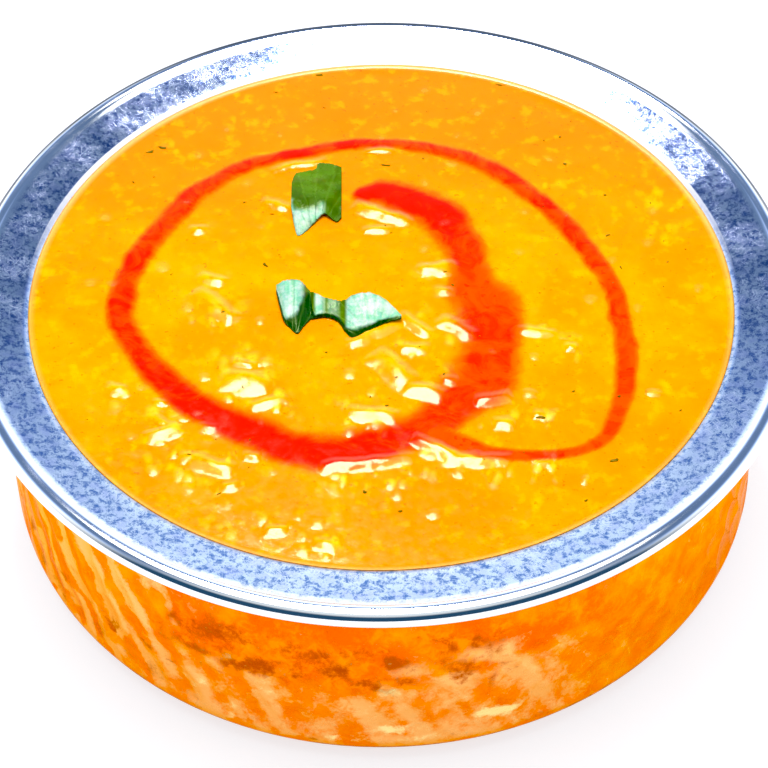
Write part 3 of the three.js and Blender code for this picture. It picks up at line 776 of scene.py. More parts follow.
MARK_COLUMNS = 756
MARK_ROWS_FINE = 64
MARK_LENGTH = 6.0
MARK_WIDTH = 3.5
MARK_LEAN = 25.0
MARK_SPACING = 6.9
MARK_PITCH = (MARKS_TO - MARKS_FROM) / (MARK_ROWS + 1 / 3)
FIRST_MARK = 2 / 3

# What differs from mark to mark: how far it strays round, as a share of the spacing, and
# up, in mm, and the least and the added share of its size and of its depth.
MARK_STRAY = (0.24, 1.6)
MARK_SIZE = (0.92, 0.24)
MARK_DISH = (0.75, 0.5)

# Painted highlights as pale gleams and painted peach reflections on the copper: the
# bearing from the front, the height, and how far each reaches in degrees and in mm.
GLEAMS = ((1.5, 9.8, 2.8, 1.1), (16.0, 11.5, 3.6, 0.9), (-6.0, 7.0, 2.4, 0.8))
PEACH_PATCHES = ((14.0, 28.0, 4.5, 2.4), (4.0, 26.0, 3.0, 2.0), (9.0, 22.0, 4.0, 3.0))


def hammer_marks(angle, share, side_length):
    """How far the copper is knocked in, from 0 on the ridges to about 1, and how far down
    its own mark a place lies, from -1 at the head to 1 at the foot. Each mark is a shallow
    oval dish that leans a little, and the deepest dish at a place wins, so that ridges
    stand between neighbours."""
    lean = unit(MARK_LEAN)
    draws = np.random.default_rng(MARK_SEED).uniform(0, 1, (MARK_ROWS, MARKS_ROUND, 4))
    radius = side_points(share[:, 0], STEEL + GAP + COPPER)[0][:, :1]
    knocked = np.zeros(np.broadcast(angle, share).shape)
    down = np.zeros_like(knocked)
    for row in range(MARK_ROWS):
        middle = MARKS_FROM + (row + FIRST_MARK) * MARK_PITCH
        column = angle / TURN * MARKS_ROUND - (row % 2) / 2
        for beside in (-1, 0, 1):
            nearest = np.floor(column + 0.5).astype(int) + beside
            here = draws[row, nearest % MARKS_ROUND]
            stray_round, stray_up = (MARK_STRAY[k] * (here[..., k] - 0.5) for k in (0, 1))
            across = (column - nearest + stray_round) / MARKS_ROUND * TURN * radius
            up = (share - middle) * side_length + stray_up
            long = (up * lean[0] - across * lean[1]) / MARK_LENGTH
            wide = (across * lean[0] + up * lean[1]) / MARK_WIDTH
            size = varied(*MARK_SIZE, here[..., 2])
            dish = varied(*MARK_DISH, here[..., 3]) * (1 - (long**2 + wide**2) / size**2)
            down = np.where(dish > knocked, -long, down)
            knocked = np.maximum(knocked, dish)
    return knocked, down


def spots(places, bearing, height):
    """1 in the middle of soft oval spots, falling to 0 round them."""
    total = np.zeros(np.broadcast(bearing, height).shape)
    for middle, level, reach, rise in places:
        off = (bearing - middle + 180) % 360 - 180
        spot = np.exp(-np.square(off / reach) - np.square((height - level) / rise))
        total = np.maximum(total, spot)
    return total


# Painted peach reflections run in stripes between painted gold highlights on the ridges
# of the left side, and painted dark reflections lie in brown bands at two heights of the
# front. Noise makes both wander by these amounts, the bands and the lower part of the
# front in mm.
STRIPES_ROUND = 44
STRIPE_WANDER = {"broad": 0.45, "mottle": 0.2}
STRIPE_FRAY = {"streak": 0.6, "mottle": 0.3}
BROWN_LEVELS = (29.5, 23.0)
BROWN_REACH = 2.6
BROWN_WANDER = 3
LOW_WANDER = {"broad": -6, "mottle": -3}

# Noise for the patina and its painted light: how often it changes from cell to cell round
# the bowl and from mark to mark up the side, its seed and its layers. The blotches' noise
# doesn't repeat once round, and is used on the front alone.
PATINA_AND_LIGHT_NOISE = {
    "mottle": (2, 2, 211, 3), "broad": (1, 1, 223, 2), "streak": (2, 0.5, 227, 3),
    "blotch": (1.3, 1.8, 233, 3), "specks": (3, 4, 239, 3),
}

# Bearings from the front, which is at this angle from +X, to the middles of both sides.
FRONT_ANGLE = -90.0
LEFT_BEARING = -80
RIGHT_BEARING = 78

# From where to where each mask of the patina and its painted light sets in: by the cosine
# of the bearing from the middle of a side, by height, by how far down its mark and how far
# knocked in a place lies, by noise, and by the bearing from the front.
PATINA_AND_LIGHT_STEPS = {
    "side": (0.5, 0.85), "low": (28.0, 18.0), "lower": (24.0, 12.0), "foot": (-0.4, 0.6),
    "dished": (0.0, 0.8), "dished well": (0.2, 0.9), "stripes": (0.35, 0.95),
    "blotched": (-0.55, 0.45), "brown from": (-44.0, -18.0), "brown to": (26.0, 8.0),
    "specks": (0.3, 0.75), "edge top": (7.5, 6.0), "edge foot": (5.0, 6.0), "edge": (0.0, 0.5),
    "reflecting": (0.1, 0.6), "gleaming": (0.3, 0.65),
}

# Painted contact shadow, where the copper darkens towards the table: from and to, and
# how much lower at the front.
CONTACT_SHADOW = ((5.8, 1.1), (4.6, 0.9))

# Blotches of painted dark reflection gather at the marks' feet, and a little less copper
# is blotched than not. Broad noise helps to spread the painted peach reflection on the
# right side.
BLOTCHES_AT_FEET = 0.45
BLOTCHES_LESS = 0.1
REFLECTING_BROADLY = 0.5

# How much each mask brings of each colour. Most masks are painted reflections,
# highlights or shade; the specks are real tarnish.
PATINA_AND_LIGHT_MIX = {
    "gold": {"all": 0.22, "mottle": 0.6, "right": 0.35, "ridges": 0.3},
    "deep": {"high": 0.72, "high broad": 0.75, "dished": 0.45, "right": 0.12, "right broad": 0.5},
    "peach": {"left": 0.18, "stripes": 0.95, "low": 0.58, "low streak": 0.8,
              "low mottle": 0.6, "reflecting": 0.4, "patches": 0.9},
    "tarnish_and_shade": {"brown_shade": 0.95, "specks": 0.35, "feet": 0.5, "edge": 0.6, "contact_shadow": 1.1},
    "gleam": {"gleams": 0.9, "gleams mottle": 1.3, "gleaming": 0.45},
}


def patina_and_painted_light(angle, height, share, knocked, down):
    """How much of each colour lies on the copper's outside: tarnish specks and tone, and
    painted light. The bowl's left side has painted gold highlights along the ridges, painted
    peach reflections in stripes between them and painted shade in its hollows and at the
    marks' feet. Its front has painted shade under the rim, painted dark reflections in
    brown bands, painted peach reflections of the floor and painted highlights below, and
    a painted dark band near its foot. Its right side is an even orange with faint painted
    peach reflections. A painted contact shadow darkens it towards the table. Noise repeats
    once round the bowl, so there is no seam."""
    cells = angle / TURN * LATTICE
    up = height / MARK_SPACING
    noise = {}
    for name, (round_rate, up_rate, seed, count) in PATINA_AND_LIGHT_NOISE.items():
        lean = up * math.tan(math.radians(MARK_LEAN)) if name == "streak" else 0
        noise[name] = layers(round_rate * (cells + lean), up_rate * up, 1.0, seed, count)
    mottle, broad, streak = noise["mottle"], noise["broad"], noise["streak"]

    def step(name, numbers):
        return smoothstep(*PATINA_AND_LIGHT_STEPS[name], numbers)

    def mixed(weights):
        return sum(weight * noise[name] for name, weight in weights.items())

    bearing = np.degrees(angle) - FRONT_ANGLE
    facing = (bearing + 180) % 360 - 180
    left = step("side", np.cos(np.radians(bearing - LEFT_BEARING)))
    right = step("side", np.cos(np.radians(bearing - RIGHT_BEARING)))
    front = 1 - np.maximum(left, right)
    rows = (share - MARKS_FROM) / MARK_PITCH - FIRST_MARK
    # Stripes of painted reflection that run between the marks on the left side.
    stripe = angle / TURN * STRIPES_ROUND + rows / 2 + mixed(STRIPE_WANDER)
    between = 0.5 - 0.5 * np.cos(TURN * stripe)
    # Where painted reflections of the floor lie on the lower front.
    low = step("low", height + mixed(LOW_WANDER))
    foot = step("foot", down) * step("dished", knocked)
    # Painted dark reflections in bands at two heights of the front.
    brown_shade = sum(
        np.exp(-np.square((height - level + BROWN_WANDER * broad) / BROWN_REACH))
        for level in BROWN_LEVELS)
    blotched = step("blotched", noise["blotch"] + BLOTCHES_AT_FEET * foot - BLOTCHES_LESS)
    # A painted dark band near the foot of the front.
    edge = step("edge top", height) * step("edge foot", height) * step("edge", noise["blotch"])
    contact_from, contact_to = (level - lower * front for level, lower in CONTACT_SHADOW)
    # Painted highlights.
    gleams = spots(GLEAMS, bearing, height)
    masks = {
        "all": 1.0,
        "mottle": mottle,
        "left": left,
        "right": right,
        "right broad": right * broad,
        # Painted highlights along the ridges, and painted peach reflections in stripes between them.
        "ridges": left * (1 - between),
        "stripes": left * step("stripes", between + mixed(STRIPE_FRAY)),
        # Painted shade in the hollows of the marks.
        "dished": left * step("dished well", knocked),
        # Painted shade at the marks' feet.
        "feet": left * foot * step("lower", height) * (1 + broad),
        # Painted shade under the rim.
        "high": front * (1 - low),
        "high broad": front * (1 - low) * broad,
        # Painted reflections of the floor on the lower front.
        "low": front * low,
        "low streak": front * low * streak,
        "low mottle": front * low * mottle,
        # Faint painted peach reflections on the right side, and painted peach patches.
        "reflecting": right * step("reflecting", streak + REFLECTING_BROADLY * broad),
        "patches": spots(PEACH_PATCHES, bearing, height),
        # Painted dark reflections in brown bands on the front; the specks are real tarnish.
        "brown_shade": brown_shade * blotched * step("brown from", facing) * step("brown to", facing),
        "specks": step("specks", noise["specks"]) * (1 - right),
        # Painted shade in a band near the foot of the front, and a painted contact shadow towards the
        # table.
        "edge": front * edge,
        "contact_shadow": smoothstep(contact_from, contact_to, height - mottle),
        # Painted highlights on the lower front.
        "gleams": gleams,
        "gleams mottle": gleams * mottle,
        "gleaming": front * low * step("gleaming", mottle),
    }
    return {
        tone: sum(weight * masks[name] for name, weight in weights.items())
        for tone, weights in PATINA_AND_LIGHT_MIX.items()
    }


def copper_jacket_shape(depth):
    """The jacket: the liner's section moved outwards, turned about the axis, with hammer
    marks knocked into the side's outer face."""
    outer = STEEL + GAP + COPPER
    inner = STEEL + GAP
    angle = np.linspace(0, TURN, MARK_COLUMNS, endpoint=False)[None, :]
    share = np.linspace(0, 1, MARK_ROWS_FINE + 1)[1:-1, None]
    side, length = side_points(share[:, 0], outer)
    knocked, down = hammer_marks(angle, share, length)
    corner = arc(CORNER_CENTRE, CORNER_RADIUS + outer, -90, 0, steps=10)
    neck = neck_points(outer, steps=4)
    edge = [band_point(COPPER_EDGE_RADIUS, outer), band_point(COPPER_EDGE_RADIUS, inner)]
    back = body_section(inner, corner_steps=4, side_steps=8, neck_steps=5)[::-1]

    def rings(section):
        return [np.repeat(section[:, k, None], MARK_COLUMNS, axis=1) for k in (0, 1)]

    parts = [rings(corner), [side[:, :1] - depth * knocked, rings(side)[1]], rings(neck),
             rings(np.array(edge)), rings(back)]
    radius, height = (np.concatenate([p[k] for p in parts]) for k in (0, 1))
    points, faces = revolved(radius, height, 0.0, FLOOR_HEIGHT - inner)
    start, end = len(corner), len(corner) + len(share)
    marks, feet = np.zeros(radius.shape), np.zeros(radius.shape)
    marks[start:end], feet[start:end] = knocked, down
    level = np.interp(height, side[:, 1], share[:, 0])
    amounts = patina_and_painted_light(angle, height, level, marks, feet)
    return points, faces, {name: with_ends(amount) for name, amount in amounts.items()}


# ---------------------------------------------------------------- shape of the dal

DRIZZLE_SAMPLES = 900
CHUNK = 4096


def drizzle_line():
    """Places, widths and depths along the drizzle, by its stops."""
    turn, radius, width, deep = np.array(DRIZZLE_STOPS, float).T
    place = unit(DRIZZLE_BEARING - turn) * radius[:, None]
    stops = np.column_stack([place, width, deep])
    return through_stops(stops, np.linspace(0, len(turn) - 1, DRIZZLE_SAMPLES))


def drizzle_distance(x, y):
    """Distance from the drizzle's middle line as a share of its half width there, how
    deep the oil is at the nearest place, and whether that place is further in."""
    line = drizzle_line().astype(np.float32)
    nearest = np.empty(len(x), np.float32)
    deep = np.empty(len(x), np.float32)
    within = np.empty(len(x), bool)
    for start in range(0, len(x), CHUNK):
        part = slice(start, start + CHUNK)
        dx = x[part, None].astype(np.float32) - line[:, 0]
        dy = y[part, None].astype(np.float32) - line[:, 1]
        share = np.hypot(dx, dy) / (line[:, 2] / 2)
        nearest[part] = share.min(axis=1)
        closest = line[share.argmin(axis=1)]
        deep[part] = closest[:, 3]
        within[part] = np.hypot(x[part], y[part]) < np.hypot(closest[:, 0], closest[:, 1])
    return nearest, deep, within


# A plain generator of random numbers, by its factor, step and number of states.
DRAW_FACTOR = 1664525
DRAW_STEP = 1013904223
DRAW_STATES = 2**32


def repeatable_draws(seed):
    """Numbers from 0 to 1 in the fixed order that the solid's lentils use."""
    state = seed
    while True:
        state = (state * DRAW_FACTOR + DRAW_STEP) % DRAW_STATES
        yield state / DRAW_STATES


def leaf_near(stations, x, y, margin):
    """Whether a place lies within a margin of the rectangle round a leaf."""
    x_side, far_y, near_y = np.array(stations)[:, (0, 1, 3)].T
    dx = np.maximum(np.maximum(x_side.min() - x, x - x_side.max()), 0)
    dy = np.maximum(np.maximum(near_y.min() - y, y - far_y.max()), 0)
    return np.hypot(dx, dy) < margin


# The larger lentils: the golden angle between one and the next, how far each strays from
# it, and the least and the added length, width as a share of the length, and height.
GOLDEN_ANGLE = 180 * (3 - math.sqrt(5))
LENTIL_STRAY = 40
LENTIL_LENGTH = (1.7, 1.5)
LENTIL_WIDTH = (0.6, 0.35)
LENTIL_HEIGHT = (0.34, 0.26)
LENTIL_POWER = 1.25


def lentil_domes():
    """Where the larger lentils lie: spread like a sunflower's seeds, clear of leaves."""
    draw = repeatable_draws(LENTIL_SEED)
    domes = []
    for k in range(LENTIL_TRIES):
        distance = LENTIL_FIELD_RADIUS * math.sqrt((k + next(draw)) / LENTIL_TRIES)
        spot = unit(k * GOLDEN_ANGLE + LENTIL_STRAY * next(draw)) * distance
        length = varied(*LENTIL_LENGTH, next(draw))
        width = length * varied(*LENTIL_WIDTH, next(draw))
        height = varied(*LENTIL_HEIGHT, next(draw))
        bearing = 180 * next(draw)
        blocked = any(leaf_near(stations, *spot, length) for stations in LEAVES.values())
        if not blocked:
            domes.append((*spot, length, width, bearing, height))
    return domes


def lentil_dome(x, y, *oval):
    """1 on top of an oval lentil, falling to 0 at its foot."""
    along, across = along_and_across(x, y, *oval)
    return np.clip(1 - (along**2 + across**2) ** LENTIL_POWER, 0, 1)


def wet_ridge(x, y, *oval):
    """1 on the crest of a ridge, falling gently to its foot on the near side and steeply
    on the far one."""
    along, across = along_and_across(x, y, *oval)
    near_side = (across + 1) / (1 + RIDGE_CREST)
    far_side = (1 - across) / (1 - RIDGE_CREST)
    rise = np.where(across < RIDGE_CREST, near_side, far_side)
    ends = np.clip(1 - np.abs(along) ** RIDGE_END_POWER, 0, 1) ** 0.5
    return smoothstep(0, 1, np.clip(rise, 0, 1) ** RIDGE_POWER) * ends


# Noise for the dal: the cell in mm, the seed and the layers.
DAL_NOISE = {
    "lumps x": (4.0, 11, 3), "lumps y": (4.0, 17, 3), "drizzle x": (7.0, 23, 3),
    "drizzle y": (7.0, 29, 3), "swell": (17.0, 5, 2), "ripple": (1.9, 61, 2),
    "spots x": (1.8, 79, 2), "spotted": (13.0, 73, 2), "skin": (1.4, 109, 2),
    "tone": (16.0, 113, 2),
}
STRAY = 0.8
SPOT_STRAY = 0.7
TONE_STRAY = 7

# Round bumps: the cell in mm, the seed and the share of cells that have one.
CURD = (2.4, 47, 0.24)
FINE_CURD = (1.3, 53, 0.4)
PALE_SPOTS = (3.0, 67, 0.45)

# Rises in mm, the share of them that oil hides, and how far lentils stand out on the far
# side and how much more on the near one.
SWELL_RISE = 0.05
RIPPLE_RISE = 0.006
CURD_RISE = 0.12
FINE_CURD_RISE = 0.04
OIL_HIDES = 0.9
LENTILS_STAND = (0.05, 0.33)

# How busy the curd is: away from the ridges and on the far side, and how much is added.
BUSY_NEAR_RIDGES = (0.06, 0.94)
BUSY_NEAR_VIEWER = (0.2, 0.8)

# From where to where the dal changes: by the distance from the drizzle in half widths, by
# y, by the distance from the axis, and by noise.
DAL_STEPS = {
    "bank": (0.3, 1.35), "near": (25.0, -25.0), "levelled": (60.5, 62.6),
    "rim": (62.8, DAL_EDGE_RADIUS), "rim highlight": (62.2, 63.2), "rim far": (-10.0, 30.0),
    "spotted": (-0.1, 0.6), "far": (2.0, 48.0), "nearest": (-8.0, -40.0),
}
OIL_FROM = 0.35
OIL_TO_INSIDE = 1.8
OIL_TO_OUTSIDE = 1.5

# How much lentil shows bare on each kind of lump, how whole a lentil's skin is, how dry
# the lentils and curd are, how strong the painted highlight at the dal's rim is and how
# much the dal deepens elsewhere.
BARE = {"crests": 0.4, "lentils": 0.3, "curd": 0.6, "fine curd": 0.4, "spots": 0.4}
LENTIL_SKIN = (0.75, 0.5)
DRY_LENTILS = (0.5, -0.1)
DRY_CURD = 0.3
RIM_HIGHLIGHT_SHOWS = (0.25, 0.75)
FAR_TONE = 0.85
NEAREST_TONE = 0.3


def dal_noise(name, x, y):
    cell, seed, count = DAL_NOISE[name]
    return layers(x, y, cell, seed, count)


def dal_step(name, numbers):
    return smoothstep(*DAL_STEPS[name], numbers)


def strayed(x, y, name):
    """Places moved a little by noise, so that what is drawn there has uneven edges."""
    return x + STRAY * dal_noise(f"{name} x", x, y), y + STRAY * dal_noise(f"{name} y", x, y)


def spoon_marks(x, y, strayed_x, strayed_y):
    """How high the spoon's ridges and the wet lumps stand, how far up to a crest a place
    lies, from 0 to 1, and how close it is to one, from 0 to 1."""
    raised, crests, halo = (np.zeros_like(x) for _ in range(3))
    ridges = [(*ridge[:4], RIDGE_HEIGHT, ridge[4]) for ridge in RIDGES]
    lumps = [(*lump[:4], LUMP_RISE * lump[4], lump[5]) for lump in LUMPS]
    for middle_x, middle_y, length, width, tall, bearing in ridges + lumps:
        size = RIDGE_FOOT[0] * length, RIDGE_FOOT[1] * width
        crest = wet_ridge(strayed_x, strayed_y, middle_x, middle_y, *size, bearing)
        raised = np.maximum(raised, tall * crest)
        crests = np.maximum(crests, crest)
        away = np.maximum(np.hypot(x - middle_x, y - middle_y) - length / 3, 0)
        halo = np.maximum(halo, np.exp(-np.square(away / HALO)))
    return raised, crests, halo


def dal_surface(x, y, relief):
    """Height of the dal's top, and what its material reads at each point: how much oil
    lies there and how deep, how much bare lentil shows, how dry the dal is, where a
    painted highlight lies close to the steel, and how deep its colour.

    The level is broken by slow swells, by the drizzle's bank, by the spoon's ridges and
    wet lumps, by lentils, and by a fine curd round them, and it climbs a little up the
    steel at its edge."""
    distance = np.hypot(x, y)
    near = dal_step("near", y)
    strayed_x, strayed_y = strayed(x, y, "lumps")
    trail, deep, within = drizzle_distance(*strayed(x, y, "drizzle"))
    bank = 1 - dal_step("bank", trail)
    uncovered = 1 - OIL_HIDES * bank

    raised, crests, halo = spoon_marks(x, y, strayed_x, strayed_y)
    lentils = np.zeros_like(x)
    for *oval, tall in lentil_domes():
        dome = lentil_dome(x, y, *oval)
        standing = tall * varied(*LENTILS_STAND, near)
        raised = np.maximum(raised, standing * uncovered * dome)
        lentils = np.maximum(lentils, dome)
    busy = varied(*BUSY_NEAR_RIDGES, halo) * varied(*BUSY_NEAR_VIEWER, near)
    curd = pebbles(strayed_x, strayed_y, *CURD) * busy
    small = pebbles(strayed_x, strayed_y, *FINE_CURD) * busy
    bumps = relief * (CURD_RISE * curd + FINE_CURD_RISE * small) * (1 - bank)
    raised = np.maximum(raised, bumps)
    height = SWELL_RISE * dal_noise("swell", x, y) + DRIZZLE_HEIGHT * bank + raised
    height += RIPPLE_RISE * dal_noise("ripple", x, y)
    height *= 1 - dal_step("levelled", distance)
    rim = dal_step("rim", distance)
    height += EDGE_RISE * rim

    spots_x = strayed_x + SPOT_STRAY * dal_noise("spots x", x, y)
    pale = pebbles(spots_x, strayed_y, *PALE_SPOTS)
    skin = np.clip(varied(*LENTIL_SKIN, dal_noise("skin", x, y)), 0, 1)
    lumps = {
        "crests": crests,
        "lentils": smoothstep(0, 1, lentils) * skin,
        "curd": curd,
        "fine curd": small,
        "spots": pale * dal_step("spotted", dal_noise("spotted", x, y)),
    }
    bare = np.maximum.reduce([BARE[name] * amount for name, amount in lumps.items()])
    dry = np.clip(lentils - crests, 0, 1) * varied(*DRY_LENTILS, near) + DRY_CURD * curd + rim
    tone_y = y + TONE_STRAY * dal_noise("tone", x, y)
    values = {
        "oil": 1 - smoothstep(OIL_FROM, np.where(within, OIL_TO_INSIDE, OIL_TO_OUTSIDE), trail),
        "deep": deep,
        "lump": bare * uncovered,
        "dry": dry,
        # A painted highlight along the rim, stronger on the far side.
        "rim": dal_step("rim highlight", distance) * varied(*RIM_HIGHLIGHT_SHOWS, dal_step("rim far", y)),
        "far": FAR_TONE * dal_step("far", tone_y) + NEAREST_TONE * dal_step("nearest", tone_y),
    }
    return DAL_LEVEL + height, values


def dal_shape(relief):
    """The dal: a square grid pressed into a round one, lifted to the surface's height, and
    closed below by rings that follow the liner's inner face down to the floor."""
    side = np.linspace(-1, 1, DAL_GRID + 1)
    a, b = np.meshgrid(side, side)
    steep = np.abs(a) > np.abs(b)
    reach = np.where(steep, a, b)
    whole = np.where(reach == 0, 1, reach)
    turn = np.where(steep, math.pi / 4 * b / whole, math.pi / 2 - math.pi / 4 * a / whole)
    x = (DAL_EDGE_RADIUS * reach * np.cos(turn)).ravel()
    y = (DAL_EDGE_RADIUS * reach * np.sin(turn)).ravel()
    z, values = dal_surface(x, y, relief)
    top = np.stack([x, y, z], -1)
    number = np.arange((DAL_GRID + 1) ** 2).reshape(DAL_GRID + 1, DAL_GRID + 1)
    border = np.concatenate([
        number[0, :-1], number[:-1, -1], number[-1, :0:-1], number[:0:-1, 0]])
    section = body_section(-GAP, corner_steps=3, side_steps=4, neck_steps=8)[::-1]
    section = section[section[:, 1] < DAL_LEVEL - HIDDEN_FROM]
    facing = top[border, :2] / np.linalg.norm(top[border, :2], axis=1)[:, None]
    rings = [
        np.concatenate([facing * radius, np.full((len(facing), 1), height)], 1)
        for radius, height in section]
    points = np.concatenate([top, *rings, [[0, 0, section[-1, 1]]]])
    count = len(border)
    start = len(top)
    numbers = [border] + [start + k * count + np.arange(count) for k in range(len(rings))]
    quads = [grid_faces(DAL_GRID + 1, DAL_GRID + 1)]
    for above, below in zip(numbers, numbers[1:]):
        quads.append(np.stack([below, np.roll(below, -1), np.roll(above, -1), above], -1))
    floor = numbers[-1]
    fan = np.stack([np.full(count, len(points) - 1), np.roll(floor, -1), floor], -1)
    hidden = np.zeros(len(points) - len(top))
    values = {name: np.concatenate([amount, hidden]) for name, amount in values.items()}
    return points, [np.concatenate(quads), fan], values


# ---------------------------------------------------------------- shapes of the leaves

LEAF_LENGTH_STEPS = 150
LEAF_WIDTH_STEPS = 56
FOLD_SHARE = 0.7
FOLD_ROUNDING = 0.07
FOLD_CLEARANCE = 0.04
LEAF_TEETH = 0.22
NEAR_TEETH = 0.6
TEETH_ALONG = 60
LEAF_QUILTING = 0.10

# Veins: the angle between them, how far they wander and how wide they are, both as shares
# of that angle, and how deep they lie. Each part of a leaf has its own root.
VEIN_SPREAD = 11.0
VEIN_WANDER = 0.12
VEIN_WIDTH = (0.02, 0.14)
VEIN_DEPTH = 0.07
BACK_LEAF_FROM = 12
BACK_ROOT = (-12.0, 14.0)
FRONT_PARTS = (-12.4, -9.0)
FRONT_ROOTS = (-15.8, -10.4, -1.0)
FRONT_ROOTS_Y = -13.0

# Noise for the leaves: the cell in mm, the seed and the layers; the teeth's cell is 1.
TEETH_NOISE = (83, 2)
QUILTING_NOISE = (2.2, 89, 2)
VEIN_NOISE = (2.5, 97, 2)
PALE_NOISE = (2.0, 101, 3)
SHADE_NOISE = (3.0, 71, 3)

# How the colours lie: how far the pale patches wander and fade across and along the leaf,
# how much darker it is in patches from noise, and its painted shade towards a fold and on
# its underside.
PALE_WANDER = 0.16
PALE_FADE = 0.12
PALE_FADE_INSIDE = 0.06
PALE_ENDS = ((0.0, 0.7), (0.5, -0.7))
SHADE = 0.45
FOLD_DARKENS = (0.60, 0.70)
BACK_DARKENS = 0.3
UNDERSIDE_SHADE = 0.8

# Where a leaf shows its pale underside, painted paler with sheen: from and to along X, and
# how far it reaches from the far edge and towards the near one, as shares.
PALE_PATCHES = {
    "coriander_leaf_back": ((-16.9, -10.4, 0.78, 1.0, 0.9),),
    "coriander_leaf_front": (
        (-19.2, -13.9, -0.1, 0.68, 1.0), (-12.2, -10.2, -0.1, 0.68, 0.95),
        (-9.9, -7.6, -0.1, 0.68, 0.35), (-6.6, 4.0, -0.1, 0.68, 1.0),
    ),
}


def leaf_rails(stations, along):
    """The far edge, the fold and the near edge at shares of the way along a leaf."""
    row = through_stops(np.array(stations, float), along * (len(stations) - 1))
    x, far_y, far_z, near_y, near_z, share, fold_z = np.moveaxis(row, -1, 0)
    share = np.clip(share, FOLD_CLEARANCE, 1 - FOLD_CLEARANCE)
    far, near = np.stack([x, far_y, far_z], -1), np.stack([x, near_y, near_z], -1)
    fold = np.stack([x, far_y + (near_y - far_y) * share, fold_z], -1)
    return far, fold, near


def leaf_point(stations, along, across):
    """Points of a leaf's upper face, across from 0 at its far edge to 1 at its near one.
    Each cross-section runs straight from the far edge to the fold and from the fold
    to the near edge, rounded at the fold, with raised quilting between the veins."""
    far, fold, near = leaf_rails(stations, along)
    tooth = LEAF_TEETH * layers(along * TEETH_ALONG, along * 0, 1.0, *TEETH_NOISE)
    far[..., 1] += tooth
    near[..., 1] -= NEAR_TEETH * tooth
    step = across - FOLD_SHARE
    at_far = np.sqrt(FOLD_SHARE**2 + FOLD_ROUNDING**2) - FOLD_SHARE
    at_near = np.sqrt((1 - FOLD_SHARE) ** 2 + FOLD_ROUNDING**2) - 1 + FOLD_SHARE
    rounded = step + np.sqrt(step * step + FOLD_ROUNDING**2)
    past = (rounded - at_far * (1 - across) - at_near * across) / 2
    before = (across - past) / FOLD_SHARE
    point = far + (fold - far) * before[..., None]
    point += (near - fold) * (past / (1 - FOLD_SHARE))[..., None]
    x, y = point[..., 0], point[..., 1]
    point[..., 2] += LEAF_QUILTING * layers(x, y, *QUILTING_NOISE)
    point[..., 2] -= VEIN_DEPTH * leaf_veins(x, y)
    return point


def leaf_veins(x, y):
    """1 on the veins, 0 between them. They fan out from a root below the near edge, one to
    each of the front leaf's three parts and one to the whole back leaf."""
    back = y > BACK_LEAF_FROM
    root_x = np.select(
        [back, x < FRONT_PARTS[0], x < FRONT_PARTS[1]],
        [BACK_ROOT[0], *FRONT_ROOTS[:2]], FRONT_ROOTS[2])
    root_y = np.where(back, BACK_ROOT[1], FRONT_ROOTS_Y)
    turn = np.degrees(np.arctan2(x - root_x, y - root_y)) / VEIN_SPREAD
    turn = turn + VEIN_WANDER * layers(x, y, *VEIN_NOISE)
    return 1 - smoothstep(*VEIN_WIDTH, np.abs(turn - np.round(turn)))


def leaf_shape(node):
    """A thin closed sheet: its upper face, the same face one thickness lower, and a wall
    round the edge."""
    rows, columns = LEAF_LENGTH_STEPS + 1, LEAF_WIDTH_STEPS + 1
    along, across = np.meshgrid(
        np.linspace(0, 1, rows), np.linspace(0, 1, columns), indexing="ij")
    upper = leaf_point(LEAVES[node], along, across)
    x, y = upper[..., 0], upper[..., 1]
    veins = leaf_veins(x, y)
    upper[..., 2] += DAL_LEVEL
    lower = upper - (0, 0, LEAF_THICKNESS)
    points = np.concatenate([upper, lower]).reshape(-1, 3)
    top = grid_faces(rows, columns)
    count = rows * columns
    number = np.arange(count).reshape(rows, columns)
    border = np.concatenate([
        number[:-1, 0], number[-1, :-1], number[:0:-1, -1], number[0, :0:-1]])
    ahead = np.roll(border, -1)
    wall = np.stack([border, ahead, count + ahead, count + border], -1)
    # The pale underside where it is turned up, with a painted sheen on it.
    pale = np.zeros_like(x)
    place = across + PALE_WANDER * layers(x, y, *PALE_NOISE)
    for left, right, start, end, share in PALE_PATCHES[node]:
        inside = smoothstep(*(left + reach for reach in PALE_ENDS[0]), x)
        inside = inside * smoothstep(*(right + reach for reach in PALE_ENDS[1]), x)
        inside = inside * smoothstep(start - PALE_FADE, start + PALE_FADE, place)
        inside = inside * smoothstep(end + PALE_FADE, end - PALE_FADE_INSIDE, place)
        pale = np.maximum(pale, share * inside)
    # Painted shade towards the fold of the front leaf, the near edge of the back one, and on the
    # underside.
    shade = 0.5 + 0.5 * layers(x, y, *SHADE_NOISE)
    front = node == "coriander_leaf_front"
    folded = smoothstep(*FOLD_DARKENS, across) if front else BACK_DARKENS * across
    dark = np.clip(SHADE * shade + folded, 0, 1)
    values = {
        "vein": np.tile(veins.ravel(), 2),
        "pale": np.tile(pale.ravel(), 2),
        "dark": np.concatenate([dark.ravel(), np.full(count, UNDERSIDE_SHADE)]),
    }
    return points, [top, count + top[:, ::-1], wall[:, ::-1]], values


# ---------------------------------------------------------------- herb flecks

